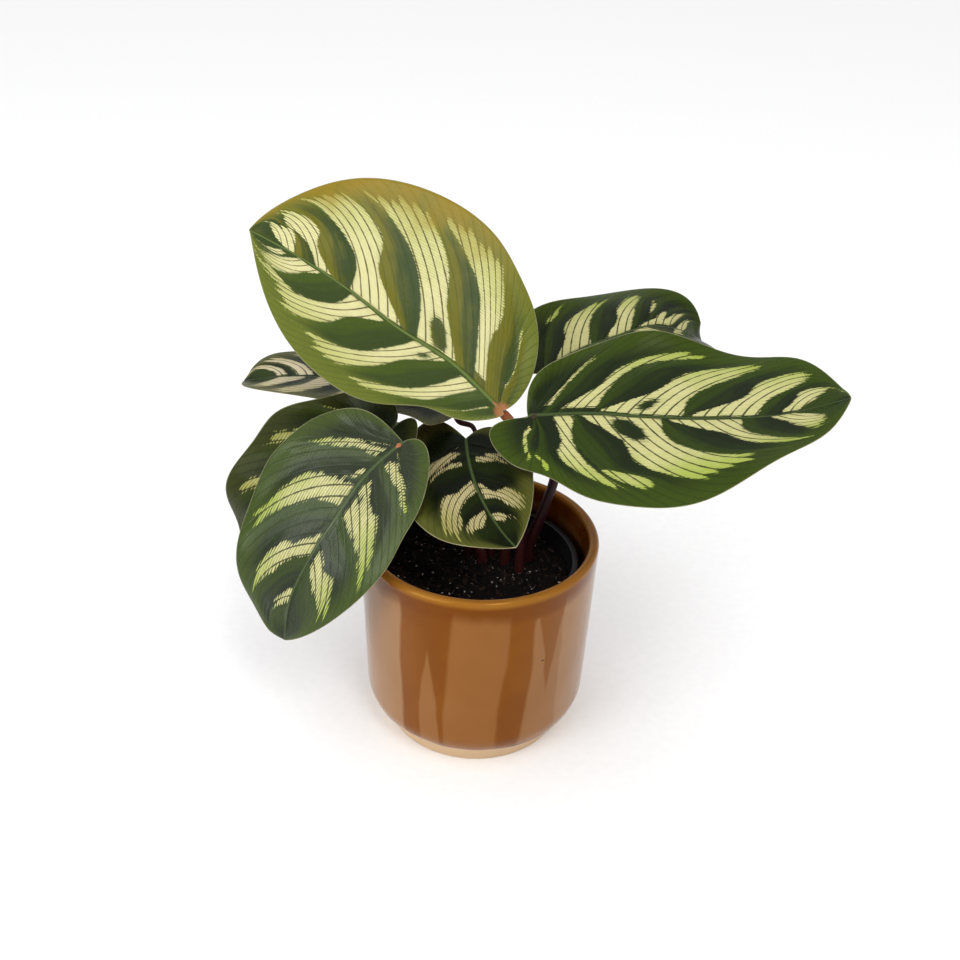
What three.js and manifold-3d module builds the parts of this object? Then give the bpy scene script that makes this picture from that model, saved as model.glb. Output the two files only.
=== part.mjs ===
// A small peacock calathea in its nursery pot, standing in an amber-glazed ceramic pot.
// Millimetres, +Z up. The origin is the middle of the glazed pot's foot, on the surface it stands on.
// Each leaf is one waved blade and one stalk. The stalks stand in plain holes in the soil.
import * as THREE from "three";
import { mergeVertices } from "three/addons/utils/BufferGeometryUtils.js";
import Module from "manifold-3d";

const wasm = await Module();
wasm.setup();

// ---------------------------------------------------------------- driving dimensions

const CLEARANCE = 0.3; // between pieces that touch

const POT = {
  lipRadius: 40,
  height: 73.9,
  wall: 3.4,
  waistRadius: 38.4, // where the straight side ends
  waistHeight: 13,
  waistRound: 1.5,
  glazeRadius: 36.6, // where the glaze stops and the bare foot begins
  glazeHeight: 9.2,
  glazeStep: 0.35,
  footRadius: 31.3,
  footEdge: 0.5,
  floor: 5.5,
  innerCorner: 9,
  throatDepth: 12, // the inside is widest this far below the lip
  throatStep: 0.4,
  sides: 56,
};

const NURSERY = {
  rimRadius: 33.8,
  lipWidth: 1.3,
  lipDrop: 1.6,
  lipFlare: 0.8, // height of the slope under the lip
  rimHeight: 64.2,
  baseRadius: 23,
  wall: 0.9,
  drainCount: 5,
  drainRadius: 2.6,
  drainCircle: 14,
  drainSides: 12,
  sides: 48,
};

const SOIL = {
  level: 58.6,
  relief: 0.9, // height of the lumps in the surface
  wallDip: 0.8, // how much lower it lies at the pot's wall
  edgeDrop: 1, // its side is measured this far below its level
  slack: 0.1, // beyond the clearance, for the flats of the two outlines
  holeDepth: 12,
  holeSides: 10,
  drillAbove: 8,
  rings: 8,
  sides: 48,
};

// The lumps are crossing waves: turns along X and Y (radians a millimetre), start and weight.
const SOIL_WAVES = [
  { x: 0.31, y: 0.27, start: 0.6, weight: 1 },
  { x: 0.33, y: 0.52, start: 2, weight: 0.6 },
  { x: 0.71, y: -0.5, start: 1.57, weight: 0.4 },
];

const BLADE = {
  thickness: 0.8,
  ridge: 0.9, // how far the midrib stands out below
  ridgeRise: [4, 14], // it grows over this stretch of the blade
  ridgeTaper: 0.85, // and loses this share of its height by the tip
  veinRows: 24,
  rowSpread: 1.15, // above 1, more of the rows lie towards the stalk
  veinReaches: [0.06, 0.3, 0.55, 0.8, 1],
  leastStep: 0.3, // between the roots of two side veins
  frameSteps: 32,
  veinLean: 0.62, // a side vein runs this far forward for each unit it runs out
  veinSoftness: 0.06, // how gradually the first veins fan out of the leaf's base
  veinBow: 0.375, // forward bulge of a vein, which leaves the midrib steeply
  dentWidth: 0.07, // share of the outline, as are the next two
  dentFade: 0.1, // the dip starts from nothing over this first stretch
  lobeAt: 0.12, // where the outline reaches furthest back
  narrow: 0.25, // where the blade is narrower than this share, its waves fade
};

const STALK = {
  radius: 1.3,
  sheathRadius: 1.9, // at the soil, where the sheath wraps it
  sheathEnds: [0.15, 0.45], // shares of the stalk between which the sheath thins out
  jointRadius: 1.6, // the swollen joint below the blade
  jointSwells: [0.79, 0.87],
  jointTapers: [0.96, 1],
  endRadius: 1.15,
  seat: 1.2, // it meets the blade this far along the midrib
  collar: [1.2, 4], // it is upright up to here above the soil, and then leans
  steps: 18,
  sides: 8,
};

// A leaf's blade lies on a midrib that starts at `base` in the direction of `heading` and `pitch`
// (degrees), is rolled about itself by `roll`, and then bends down by `droop` and `tipDroop`,
// sideways by `sickle` and about itself by `twist`, all over its whole length. `fold` lifts both
// halves to a shallow V and `cup` curves them. Each half has its own outline: `half` is its width,
// `full` and `sharp` set how round its base and how pointed its tip is, `lobe` is how far it
// reaches back past the stalk, `dent` a dip in its edge, and `wave` the height, number and start
// of the waves along its edge. `crown` is where the stalk leaves the soil, `elbows` where it passes.
const LEAVES = {
  leaf_1: {
    base: [5.5, 3, 118],
    length: 109,
    heading: 152,
    pitch: 28,
    roll: -43,
    droop: 14,
    tipDroop: -1,
    sickle: 7,
    twist: -7,
    fold: 6,
    cup: 0.16,
    left: { half: 28, full: 2.1, sharp: 2.35, lobe: 2.5, dent: 4.7, dentAt: 0.29 },
    right: { half: 42, full: 1.26, sharp: 1.53, lobe: 3.4, dent: 1.3, dentAt: 0.3, wave: [0.6, 3.2, 0.16] },
    crown: [9, 5],
    elbows: [[11.5, 7.5, 92], [10.5, 8.8, 105]],
    approach: [5, 4],
    colour: 0x7d8a35,
  },
  leaf_2: {
    base: [13.5, -5, 120],
    length: 95.5,
    heading: -12.6,
    pitch: 5.3,
    roll: 41,
    droop: -8.7,
    tipDroop: 0,
    sickle: 10.3,
    twist: -35.8,
    fold: 4.6,
    cup: 0,
    left: { half: 30.3, full: 1.02, sharp: 1.18, lobe: 1.9, dent: -1, dentAt: 0.27, wave: [3.7, 2.8, 0.04] },
    right: { half: 33.5, full: 1.54, sharp: 1.58, lobe: 13.6, dent: 4.4, dentAt: 0.28, wave: [0.6, 3.3, 0] },
    crown: [14, 1.5],
    elbows: [[15.5, 2.5, 95]],
    approach: [2, 6],
    colour: 0x3c5526,
  },
  leaf_3: {
    base: [17.2, 22, 122.2],
    length: 79.5,
    heading: 30,
    pitch: 25,
    roll: 9.6,
    droop: 52,
    tipDroop: 14.4,
    sickle: -3.6,
    twist: 11.7,
    fold: 17,
    cup: -0.1,
    left: { half: 24, full: 0.94, sharp: 0.99, lobe: 3.7, dent: -0.3, dentAt: 0.35, wave: [5.6, 1.46, 0.98] },
    right: { half: 24.2, full: 0.85, sharp: 1.23, lobe: 5.3 },
    crown: [16.5, 7],
    elbows: [[21.8, 9.5, 79], [24.6, 12.5, 92]],
    approach: [3, 6],
    stalkScale: 1.3,
    colour: 0x3d5a25,
  },
  leaf_4: {
    base: [-24.9, -8.9, 112],
    length: 80,
    heading: 212,
    pitch: -29,
    roll: -29,
    droop: 47,
    tipDroop: 6,
    sickle: 24,
    twist: -1,
    fold: 5,
    cup: -0.09,
    left: { half: 24.7, full: 1.43, sharp: 1.82, lobe: 6.2, dent: 1.2, dentAt: 0.37 },
    right: { half: 29.6, full: 0.81, sharp: 1.12, lobe: 0, dent: 1.1, dentAt: 0.36, wave: [1.7, 3.3, 0.02] },
    crown: [1, 3],
    elbows: [[-13, 3.5, 79], [-29.3, -1, 95]],
    approach: [1, 5],
    colour: 0x44602c,
  },
  leaf_5: {
    base: [-28.9, 9.7, 107.8],
    length: 85,
    heading: 205,
    pitch: -37,
    roll: -36,
    droop: 43,
    tipDroop: 6.5,
    sickle: -2,
    twist: 13,
    fold: 7,
    cup: 0.13,
    left: { half: 22.5, full: 2, sharp: 1.5, lobe: 1, wave: [0.8, 2.7, 0.92] },
    right: { half: 31, full: 1.26, sharp: 1.34, lobe: 2, dent: 1.6, dentAt: 0.29, wave: [2.2, 3.8, 0.89] },
    crown: [-3.5, 9],
    elbows: [[-18, 16, 84]],
    approach: [2, 6],
    colour: 0x405c27,
  },
  leaf_6: {
    base: [-9.7, 24, 108.8],
    length: 82,
    heading: 157,
    pitch: 7,
    roll: -2,
    droop: 21,
    tipDroop: 3,
    sickle: 12,
    twist: 0,
    fold: 8.6,
    cup: -0.08,
    left: { half: 19.8, full: 0.88, sharp: 1.15, lobe: 5, dent: -6, dentAt: 0.16 },
    right: { half: 28.2, full: 0.93, sharp: 1.09, lobe: 4, wave: [2.7, 2.26, 0.29] },
    crown: [4, 14],
    elbows: [[-1.5, 20, 90], [-3.7, 21, 102]],
    approach: [3, 5],
    stalkScale: 0.6,
    colour: 0x4a5430,
  },
  leaf_7: {
    base: [-5.7, 6.6, 105.5],
    length: 60.5,
    heading: 274,
    pitch: -8,
    roll: 12.6,
    droop: -4,
    tipDroop: -2,
    sickle: 25,
    twist: 5,
    fold: 8,
    cup: -0.26,
    left: { half: 18.7, full: 0.97, sharp: 1.54, lobe: 4.9 },
    right: { half: 23.9, full: 0.92, sharp: 1.61, lobe: 14.5, wave: [0.7, 2.8, 0.96] },
    crown: [4, 8],
    elbows: [[0, 9, 84]],
    approach: [2, 6],
    stalkScale: 0.85,
    colour: 0x33451f,
  },
};

const MATERIALS = {
  glaze: { color: 0x9a5c1c, roughness: 0.15, metalness: 0 },
  plastic: { color: 0x0c0c0c, roughness: 0.4, metalness: 0 },
  soil: { color: 0x17110d, roughness: 0.95, metalness: 0 },
  stalk: { color: 0x4a161c, roughness: 0.45, metalness: 0 },
};

// ---------------------------------------------------------------- helpers

const rad = THREE.MathUtils.degToRad;
const at = (x, y, z) => new THREE.Vector3(x, y, z);

function lathe(profile, sides) {
  const geometry = new THREE.LatheGeometry(profile.map(([r, z]) => new THREE.Vector2(r, z)), sides);
  return geometry.rotateX(Math.PI / 2);
}

// Points on an arc of an ellipse, from one angle to another (degrees), both ends included.
function arc([r, z], [wide, high], from, to, steps) {
  return Array.from({ length: steps + 1 }, (_, i) => {
    const angle = rad(from + ((to - from) * i) / steps);
    return [r + wide * Math.cos(angle), z + high * Math.sin(angle)];
  });
}

function solidOf(geometry) {
  const bare = geometry.clone().deleteAttribute("normal").deleteAttribute("uv");
  const merged = mergeVertices(bare, 1e-4);
  return new wasm.Manifold(
    new wasm.Mesh({
      numProp: 3,
      vertProperties: merged.attributes.position.array,
      triVerts: new Uint32Array(merged.index.array),
    }),
  );
}

function geometryOf(solid) {
  const mesh = solid.getMesh();
  return new THREE.BufferGeometry()
    .setAttribute("position", new THREE.BufferAttribute(mesh.vertProperties, 3))
    .setIndex(new THREE.BufferAttribute(mesh.triVerts, 1));
}

function closedGeometry(points, faces) {
  const geometry = new THREE.BufferGeometry().setFromPoints(points).setIndex(faces);
  geometry.setAttribute("uv", new THREE.Float32BufferAttribute(new Float32Array(points.length * 2), 2));
  geometry.computeVertexNormals();
  return geometry;
}

// A closed tube along a curve, with its own radius at each share of the length.
function tube(curve, radiusAt, { steps, sides }) {
  const frames = curve.computeFrenetFrames(steps, false);
  const points = [];
  const faces = [];
  for (let i = 0; i <= steps; i++) {
    const centre = curve.getPointAt(i / steps);
    for (let j = 0; j < sides; j++) {
      const angle = (j / sides) * 2 * Math.PI;
      points.push(
        centre
          .clone()
          .addScaledVector(frames.normals[i], radiusAt(i / steps) * Math.cos(angle))
          .addScaledVector(frames.binormals[i], radiusAt(i / steps) * Math.sin(angle)),
      );
    }
  }
  for (let i = 0; i < steps; i++)
    for (let j = 0; j < sides; j++) {
      const a = i * sides + j;
      const b = i * sides + ((j + 1) % sides);
      faces.push(a, b, b + sides, a, b + sides, a + sides);
    }
  const first = points.push(curve.getPointAt(0)) - 1;
  const last = points.push(curve.getPointAt(1)) - 1;
  const top = steps * sides;
  for (let j = 0; j < sides; j++) {
    const next = (j + 1) % sides;
    faces.push(first, next, j, last, top + j, top + next);
  }
  return closedGeometry(points, faces);
}

// ---------------------------------------------------------------- pots and soil

function glazedPot() {
  const { lipRadius, height, wall, floor, footRadius, footEdge, innerCorner } = POT;
  const lip = wall / 2;
  const innerTop = lipRadius - wall;
  const innerLow = POT.waistRadius - wall;
  const profile = [
    [0, 0],
    [footRadius - footEdge, 0],
    [footRadius, footEdge],
    [POT.glazeRadius - POT.glazeStep, POT.glazeHeight],
    [POT.glazeRadius, POT.glazeHeight],
    [POT.waistRadius - POT.waistRound / 3, POT.waistHeight - POT.waistRound],
    [POT.waistRadius, POT.waistHeight + POT.waistRound],
    ...arc([lipRadius - lip, height - lip], [lip, lip], 0, 180, 8),
    [innerTop - POT.throatStep, height - POT.throatDepth],
    ...arc([innerLow - innerCorner, floor + innerCorner], [innerCorner, innerCorner], 0, -90, 4),
    [0, floor],
  ];
  return lathe(profile, POT.sides);
}

function nurseryPot() {
  const { rimRadius, rimHeight, baseRadius, wall, drainRadius, drainCircle, drainCount } = NURSERY;
  const low = nurseryBottom();
  const { high, radius } = nurseryShoulder();
  const profile = [
    [0, low],
    [baseRadius, low],
    [radius, high],
    [rimRadius, rimHeight - NURSERY.lipDrop],
    [rimRadius, rimHeight],
    [radius - wall, rimHeight],
    [radius - wall, high],
    [baseRadius - wall, low + wall],
    [0, low + wall],
  ];
  let solid = solidOf(lathe(profile, NURSERY.sides));
  for (let i = 0; i < drainCount; i++) {
    const angle = (i / drainCount) * 2 * Math.PI;
    const drill = new THREE.CylinderGeometry(drainRadius, drainRadius, 4 * wall, NURSERY.drainSides)
      .rotateX(Math.PI / 2)
      .translate(drainCircle * Math.cos(angle), drainCircle * Math.sin(angle), low);
    solid = solid.subtract(solidOf(drill));
  }
  return geometryOf(solid);
}

function nurseryBottom() {
  return POT.floor + CLEARANCE;
}

// The top of the nursery pot's plain side, where the slope to its lip begins.
function nurseryShoulder() {
  return {
    high: NURSERY.rimHeight - NURSERY.lipDrop - NURSERY.lipFlare,
    radius: NURSERY.rimRadius - NURSERY.lipWidth,
  };
}

// How far the soil reaches out at a height inside the nursery pot.
function soilRadius(z) {
  const { high, radius } = nurseryShoulder();
  const share = (z - nurseryBottom()) / (high - nurseryBottom());
  const outside = THREE.MathUtils.lerp(NURSERY.baseRadius, radius, share);
  return outside - NURSERY.wall - CLEARANCE - SOIL.slack;
}

// The soil's surface. Its lumps fade towards the pot's wall.
function soilHeight(x, y, reach) {
  const lumps = SOIL_WAVES.reduce((sum, wave) => {
    return sum + wave.weight * Math.sin(wave.x * x + wave.y * y + wave.start);
  }, 0);
  return SOIL.level + SOIL.relief * lumps * (1 - reach ** 4) - SOIL.wallDip * reach ** 3;
}

function soil() {
  const { rings, sides } = SOIL;
  const low = nurseryBottom() + NURSERY.wall + CLEARANCE;
  const top = soilRadius(SOIL.level - SOIL.edgeDrop);
  const points = [at(0, 0, soilHeight(0, 0, 0))];
  const faces = [];
  const ring = (radius, height) => {
    for (let j = 0; j < sides; j++) {
      const angle = (j / sides) * 2 * Math.PI;
      const [x, y] = [radius * Math.cos(angle), radius * Math.sin(angle)];
      points.push(at(x, y, height(x, y)));
    }
  };
  for (let i = 1; i <= rings; i++) ring((top * i) / rings, (x, y) => soilHeight(x, y, i / rings));
  ring(soilRadius(low), () => low);
  const bottom = points.push(at(0, 0, low)) - 1;
  for (let j = 0; j < sides; j++) {
    const next = (j + 1) % sides;
    faces.push(0, 1 + j, 1 + next);
    for (let i = 0; i < rings; i++) {
      const a = 1 + i * sides;
      faces.push(a + j, a + sides + j, a + sides + next, a + j, a + sides + next, a + next);
    }
    faces.push(bottom, 1 + rings * sides + next, 1 + rings * sides + j);
  }
  let solid = solidOf(closedGeometry(points, faces));
  for (const leaf of Object.values(LEAVES)) solid = solid.subtract(solidOf(stalkHole(leaf)));
  return geometryOf(solid);
}

// ---------------------------------------------------------------- leaves

// The midrib as a row of frames: a place, the way to the tip, the way to the left half, the way up.
function midrib(leaf) {
  const heading = rad(leaf.heading);
  const pitch = rad(leaf.pitch);
  const roll = rad(leaf.roll);
  let along = at(
    Math.cos(heading) * Math.cos(pitch),
    Math.sin(heading) * Math.cos(pitch),
    Math.sin(pitch),
  );
  let side = at(0, 0, 1).cross(along).normalize().applyAxisAngle(along, roll);
  let up = along.clone().cross(side);
  let place = at(...leaf.base);
  const frames = [{ place, along, side, up }];
  const steps = BLADE.frameSteps;
  for (let i = 0; i < steps; i++) {
    const share = (i + 0.5) / steps;
    const down = rad(leaf.droop + leaf.tipDroop * 3 * share ** 2) / steps;
    const turn = rad(leaf.sickle) / steps;
    const spin = rad(leaf.twist) / steps;
    const half = along.clone().addScaledVector(up, -down / 2).addScaledVector(side, turn / 2).normalize();
    place = place.clone().addScaledVector(half, leaf.length / steps);
    const next = along.clone().addScaledVector(up, -down).addScaledVector(side, turn).normalize();
    side = side.clone().addScaledVector(along, -turn).addScaledVector(up, spin);
    side.addScaledVector(next, -side.dot(next)).normalize();
    along = next;
    up = along.clone().cross(side);
    frames.push({ place, along, side, up });
  }
  return frames;
}

// The outline of one half at a share of the way from the stalk round to the tip: how far along
// the midrib it is, and how far out.
function outline(leaf, half, share) {
  const { full, sharp, lobe = 0, dent = 0, dentAt = 0.3 } = half;
  const widest = full / (full + sharp);
  const most = widest ** full * (1 - widest) ** sharp;
  const out = (half.half * share ** full * (1 - share) ** sharp) / most;
  const lobeShare = share / BLADE.lobeAt;
  const back = lobe * lobeShare * Math.exp(1 - lobeShare);
  const along = (leaf.length * (1 - Math.cos(Math.PI * share))) / 2 - back;
  const dip = dent * Math.exp(-(((share - dentAt) / BLADE.dentWidth) ** 2));
  return [along, out - dip * Math.min(1, share / BLADE.dentFade)];
}

// Where each row's two side veins leave the midrib. They fan out of the leaf's base, so the first
// few start close together.
function veinRoots(leaf, shares) {
  const { veinLean, veinSoftness, leastStep } = BLADE;
  const soft = veinSoftness * leaf.length;
  const ease = (v) => soft * (Math.log1p(Math.exp(v / soft)) - Math.LN2);
  const roots = [0];
  for (const share of shares.slice(1)) {
    const halves = [leaf.left, leaf.right].map((half) => outline(leaf, half, share));
    const mean = halves.reduce((sum, [along, out]) => sum + (along - veinLean * out) / 2, 0);
    const eased = (ease(mean) / ease(leaf.length)) * leaf.length;
    roots.push(Math.max(eased, roots.at(-1) + leastStep));
  }
  return roots;
}

// A point of one half in the flat, at a share of the way out along a side vein.
function veinPoint([alongEdge, out], root, reach) {
  const bend = 2 * reach * (1 - reach);
  const along = (1 - reach) ** 2 * root + bend * (root + BLADE.veinBow * out) + reach ** 2 * alongEdge;
  return [along, (bend / 2 + reach ** 2) * out];
}

// How far a flat point of the blade stands above the midrib's own plane.
function liftOf(leaf, half, share, out) {
  const mean = (leaf.left.half + leaf.right.half) / 2;
  const reach = out / mean;
  const bulge = Math.sin(Math.PI * share);
  const [height, count, start] = half.wave ?? [0, 1, 0];
  const edge = Math.min(reach / Math.max(bulge, BLADE.narrow), 1) ** 2 * Math.sqrt(Math.max(bulge, 0));
  const wave = height * Math.sin(2 * Math.PI * (count * share + start)) * edge;
  return out * Math.sin(rad(leaf.fold)) + leaf.cup * reach ** 2 * mean + wave;
}

// Carries a point given along, out and up from the straight midrib on to the bent one.
function bentPoint(leaf, frames, [along, out, above]) {
  const steps = BLADE.frameSteps;
  const inside = THREE.MathUtils.clamp(along, 0, leaf.length);
  const u = (inside / leaf.length) * steps;
  const i = Math.min(Math.floor(u), steps - 1);
  const mix = (key) => frames[i][key].clone().lerp(frames[i + 1][key], u - i);
  return mix("place")
    .addScaledVector(mix("along"), along - inside)
    .addScaledVector(mix("side"), out * Math.cos(rad(leaf.fold)))
    .addScaledVector(mix("up"), above);
}

// How far the midrib stands out below the blade.
function ridgeAt(leaf, along) {
  const rise = THREE.MathUtils.smoothstep(along, ...BLADE.ridgeRise);
  return BLADE.ridge * rise * (1 - (BLADE.ridgeTaper * along) / leaf.length);
}

// One row of the blade's points on its upper or lower face, from the left edge to the right one.
function bladeRow(leaf, frames, share, root, isTop) {
  const { veinReaches, thickness } = BLADE;
  const half = thickness / 2;
  const flank = (side, sign) =>
    veinReaches.map((reach) => {
      const [along, out] = veinPoint(outline(leaf, side, share), root, reach);
      const lift = liftOf(leaf, side, share, out);
      return bentPoint(leaf, frames, [along, sign * out, lift + (isTop ? half : -half)]);
    });
  const middle = bentPoint(leaf, frames, [root, 0, isTop ? half : -half - ridgeAt(leaf, root)]);
  const isEnd = share === 0 || share === 1;
  return isEnd ? [middle] : [...flank(leaf.left, 1).reverse(), middle, ...flank(leaf.right, -1)];
}

// The triangles between two rows, seen from above. Each half's diagonals run with its veins.
function between(here, there) {
  if (here.length === 1) return there.slice(1).map((next, j) => [here[0], next, there[j]]);
  if (there.length === 1) return here.slice(1).map((next, j) => [here[j], next, there[0]]);
  const middle = (here.length - 1) / 2;
  return here.slice(1).flatMap((next, j) =>
    j < middle
      ? [[here[j], next, there[j]], [next, there[j + 1], there[j]]]
      : [[here[j], there[j + 1], there[j]], [here[j], next, there[j + 1]]],
  );
}

function blade(leaf) {
  const { veinRows } = BLADE;
  const frames = midrib(leaf);
  const shares = Array.from({ length: veinRows + 1 }, (_, i) => (i / veinRows) ** BLADE.rowSpread);
  const roots = veinRoots(leaf, shares);
  const points = [];
  const rows = (isTop) =>
    shares.map((share, i) => bladeRow(leaf, frames, share, roots[i], isTop).map((p) => points.push(p) - 1));
  const top = rows(true);
  const under = rows(false);
  const faces = [];
  for (let i = 0; i < veinRows; i++) {
    faces.push(...between(top[i], top[i + 1]).flat());
    faces.push(...between(under[i], under[i + 1]).flatMap(([a, b, c]) => [a, c, b]));
    const [a, b, c, d] = [top[i][0], top[i + 1][0], under[i + 1][0], under[i][0]];
    faces.push(a, b, c, a, c, d);
    const [e, f, g, h] = [top[i], top[i + 1], under[i + 1], under[i]].map((row) => row.at(-1));
    faces.push(f, e, h, f, h, g);
  }
  return closedGeometry(points, faces);
}

// A stalk rises straight out of the soil, bends at its elbows and comes up under the blade's base.
function stalkCurve(leaf) {
  const [{ place, along, up }] = midrib(leaf);
  const [back, below] = leaf.approach;
  const [x, y] = leaf.crown;
  // its end is a round flat, so the more it lies along the blade the lower it has to sit
  const rim = STALK.endRadius * (leaf.stalkScale ?? 1) * (back / Math.hypot(back, below));
  const end = place
    .clone()
    .addScaledVector(along, STALK.seat)
    .addScaledVector(up, -BLADE.thickness / 2 - CLEARANCE - rim);
  const approach = end.clone().addScaledVector(along, -back).addScaledVector(up, -below);
  const upright = [-SOIL.holeDepth, ...STALK.collar].map((z) => at(x, y, SOIL.level + z));
  const elbows = leaf.elbows.map((elbow) => at(...elbow));
  return new THREE.CatmullRomCurve3([...upright, ...elbows, approach, end], false, "centripetal");
}

// The straight hole that a stalk stands in.
function stalkHole(leaf) {
  const [x, y] = leaf.crown;
  const bottom = at(x, y, SOIL.level - SOIL.holeDepth - CLEARANCE);
  const line = new THREE.LineCurve3(bottom, at(x, y, SOIL.level + SOIL.drillAbove));
  const radius = stalkRadius(leaf)(0) + CLEARANCE;
  return tube(line, () => radius, { steps: 1, sides: SOIL.holeSides });
}

function stalkRadius(leaf) {
  const { radius, sheathRadius, jointRadius, endRadius } = STALK;
  const scale = leaf.stalkScale ?? 1;
  return (share) => {
    const wrap = (sheathRadius - radius) * (1 - THREE.MathUtils.smoothstep(share, ...STALK.sheathEnds));
    const swell = (jointRadius - radius) * THREE.MathUtils.smoothstep(share, ...STALK.jointSwells);
    const taper = (jointRadius - endRadius) * THREE.MathUtils.smoothstep(share, ...STALK.jointTapers);
    return scale * (radius + wrap + swell - taper);
  };
}

// ---------------------------------------------------------------- the scene graph

function mesh(name, geometry, { color, roughness, metalness }) {
  const made = new THREE.Mesh(geometry, new THREE.MeshStandardMaterial({ color, roughness, metalness }));
  made.name = name;
  return made;
}

const plant = new THREE.Group();
for (const [name, leaf] of Object.entries(LEAVES)) {
  const green = { color: leaf.colour, roughness: 0.35, metalness: 0 };
  plant.add(mesh(name + "_blade", blade(leaf), green));
  plant.add(mesh(name + "_stalk", tube(stalkCurve(leaf), stalkRadius(leaf), STALK), MATERIALS.stalk));
}

const root = new THREE.Group();
root.add(mesh("pot", glazedPot(), MATERIALS.glaze));
root.add(mesh("nursery_pot", nurseryPot(), MATERIALS.plastic));
root.add(mesh("soil", soil(), MATERIALS.soil));
root.add(plant);

export default root;
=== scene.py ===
"""A small peacock calathea in its nursery pot, standing in an amber-glazed ceramic pot.

Sizes are in millimetres and become metres when a mesh is made. The leaves follow the same rule
as the CAD solids: a bent midrib, an outline for each half, and side veins that run from one to
the other. Places on a blade are given by the vein they lie on (0 at the stalk, 1 at the tip) and
by the reach along it (0 at the midrib, 1 at the edge).
"""
import logging
import math
from dataclasses import dataclass, field, replace
from enum import Enum
from typing import NamedTuple, Optional, Sequence, Union

import bmesh
import bpy
import numpy as np
from mathutils import Matrix, Vector


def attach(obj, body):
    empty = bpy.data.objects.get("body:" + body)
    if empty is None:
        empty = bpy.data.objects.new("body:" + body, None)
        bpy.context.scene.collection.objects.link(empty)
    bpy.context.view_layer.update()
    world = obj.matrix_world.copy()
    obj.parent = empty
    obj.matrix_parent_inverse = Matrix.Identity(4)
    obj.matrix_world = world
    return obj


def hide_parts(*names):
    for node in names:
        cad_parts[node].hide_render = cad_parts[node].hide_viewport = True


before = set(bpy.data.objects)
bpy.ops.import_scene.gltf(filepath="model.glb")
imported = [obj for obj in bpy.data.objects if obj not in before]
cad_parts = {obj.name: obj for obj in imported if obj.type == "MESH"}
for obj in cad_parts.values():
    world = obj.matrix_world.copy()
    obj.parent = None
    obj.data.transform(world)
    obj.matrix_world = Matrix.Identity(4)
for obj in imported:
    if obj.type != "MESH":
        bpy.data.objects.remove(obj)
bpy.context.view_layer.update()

log = logging.getLogger("calathea")

MM = 0.001
BODY = "root"

Point = tuple[float, float, float]
Colour = Point
Piece = bpy.types.Object
Material = bpy.types.Material
Socket = bpy.types.NodeSocket
NodeTree = bpy.types.NodeTree
Value = Union[float, Socket]
Tint = Union[Colour, Socket]


# ---------------------------------------------------------------- numbers and meshes


def srgb(red: int, green: int, blue: int) -> Colour:
    """A colour as seen on a screen (0 to 255), as the linear colour that shaders take.

    Args:
        red: Red, 0 to 255.
        green: Green.
        blue: Blue.

    Returns:
        The linear colour.
    """

    def linear(value: int) -> float:
        """One channel, without the screen's curve."""
        part = value / 255
        return part / 12.92 if part <= 0.04045 else ((part + 0.055) / 1.055) ** 2.4

    return linear(red), linear(green), linear(blue)


def smoothstep(low: float, high: float, value: np.ndarray) -> np.ndarray:
    """A smooth rise from 0 to 1 as value goes from low to high."""
    part = np.clip((value - low) / (high - low), 0, 1)
    return part * part * (3 - 2 * part)


def through(values: np.ndarray, place: np.ndarray) -> np.ndarray:
    """Reads a row of values smoothly between its entries.

    Args:
        values: The row, one entry a step along the first axis.
        place: Where to read, from 0 at the first entry to 1 at the last.

    Returns:
        The values there, on a Catmull-Rom curve through the entries.
    """
    last = len(values) - 1
    steps = np.clip(place, 0, 1) * last
    i = np.minimum(steps.astype(int), last - 1)
    f = (steps - i).reshape(steps.shape + (1,) * (values.ndim - 1))
    padded = np.concatenate([2 * values[:1] - values[1:2], values, 2 * values[-1:] - values[-2:-1]])
    a, b, c, d = (padded[i + k] for k in range(4))
    return b + 0.5 * f * (c - a + f * (2 * a - 5 * b + 4 * c - d + f * (3 * (b - c) + d - a)))


def add_object(name: str, data: bpy.types.ID) -> Piece:
    """Makes an object at the origin.

    Args:
        name: The object's name.
        data: Its mesh, light or camera.

    Returns:
        The object, linked to the scene.
    """
    made = bpy.data.objects.new(name, data)
    bpy.context.scene.collection.objects.link(made)
    return made


def new_piece(name: str, points: np.ndarray, faces: Sequence[Sequence[int]]) -> Piece:
    """Makes a smooth mesh object at the origin.

    Args:
        name: The piece's name.
        points: Its vertices in millimetres.
        faces: Vertex numbers of each face, counterclockwise from outside.

    Returns:
        The object, linked to the scene.
    """
    mesh = bpy.data.meshes.new(name)
    mesh.from_pydata((np.asarray(points) * MM).tolist(), [], faces)
    mesh.polygons.foreach_set("use_smooth", [True] * len(mesh.polygons))
    mesh.update()
    return add_object(name, mesh)


def add_attribute(piece: Piece, name: str, values: np.ndarray) -> None:
    """Writes an attribute of a piece's vertices.

    Args:
        piece: The piece.
        name: The attribute's name.
        values: One number or three for each vertex.
    """
    is_vector = values.ndim == 2
    kind = "FLOAT_VECTOR" if is_vector else "FLOAT"
    data = piece.data.attributes.new(name, kind, "POINT").data
    data.foreach_set("vector" if is_vector else "value", values.astype(np.float32).ravel())


def grid_faces(rows: int, columns: int, closed: bool = False) -> list[tuple[int, ...]]:
    """Quads of a grid of points, which face where the next row lies left of the way along a row.

    Args:
        rows: Number of rows of points.
        columns: Points in a row.
        closed: Whether each row runs round to its first point.

    Returns:
        The quads.
    """
    i, j = np.meshgrid(np.arange(rows - 1), np.arange(columns if closed else columns - 1), indexing="ij")
    a = i * columns + j
    b = i * columns + (j + 1) % columns
    return np.stack([a, b, b + columns, a + columns], -1).reshape(-1, 4).tolist()


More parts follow.
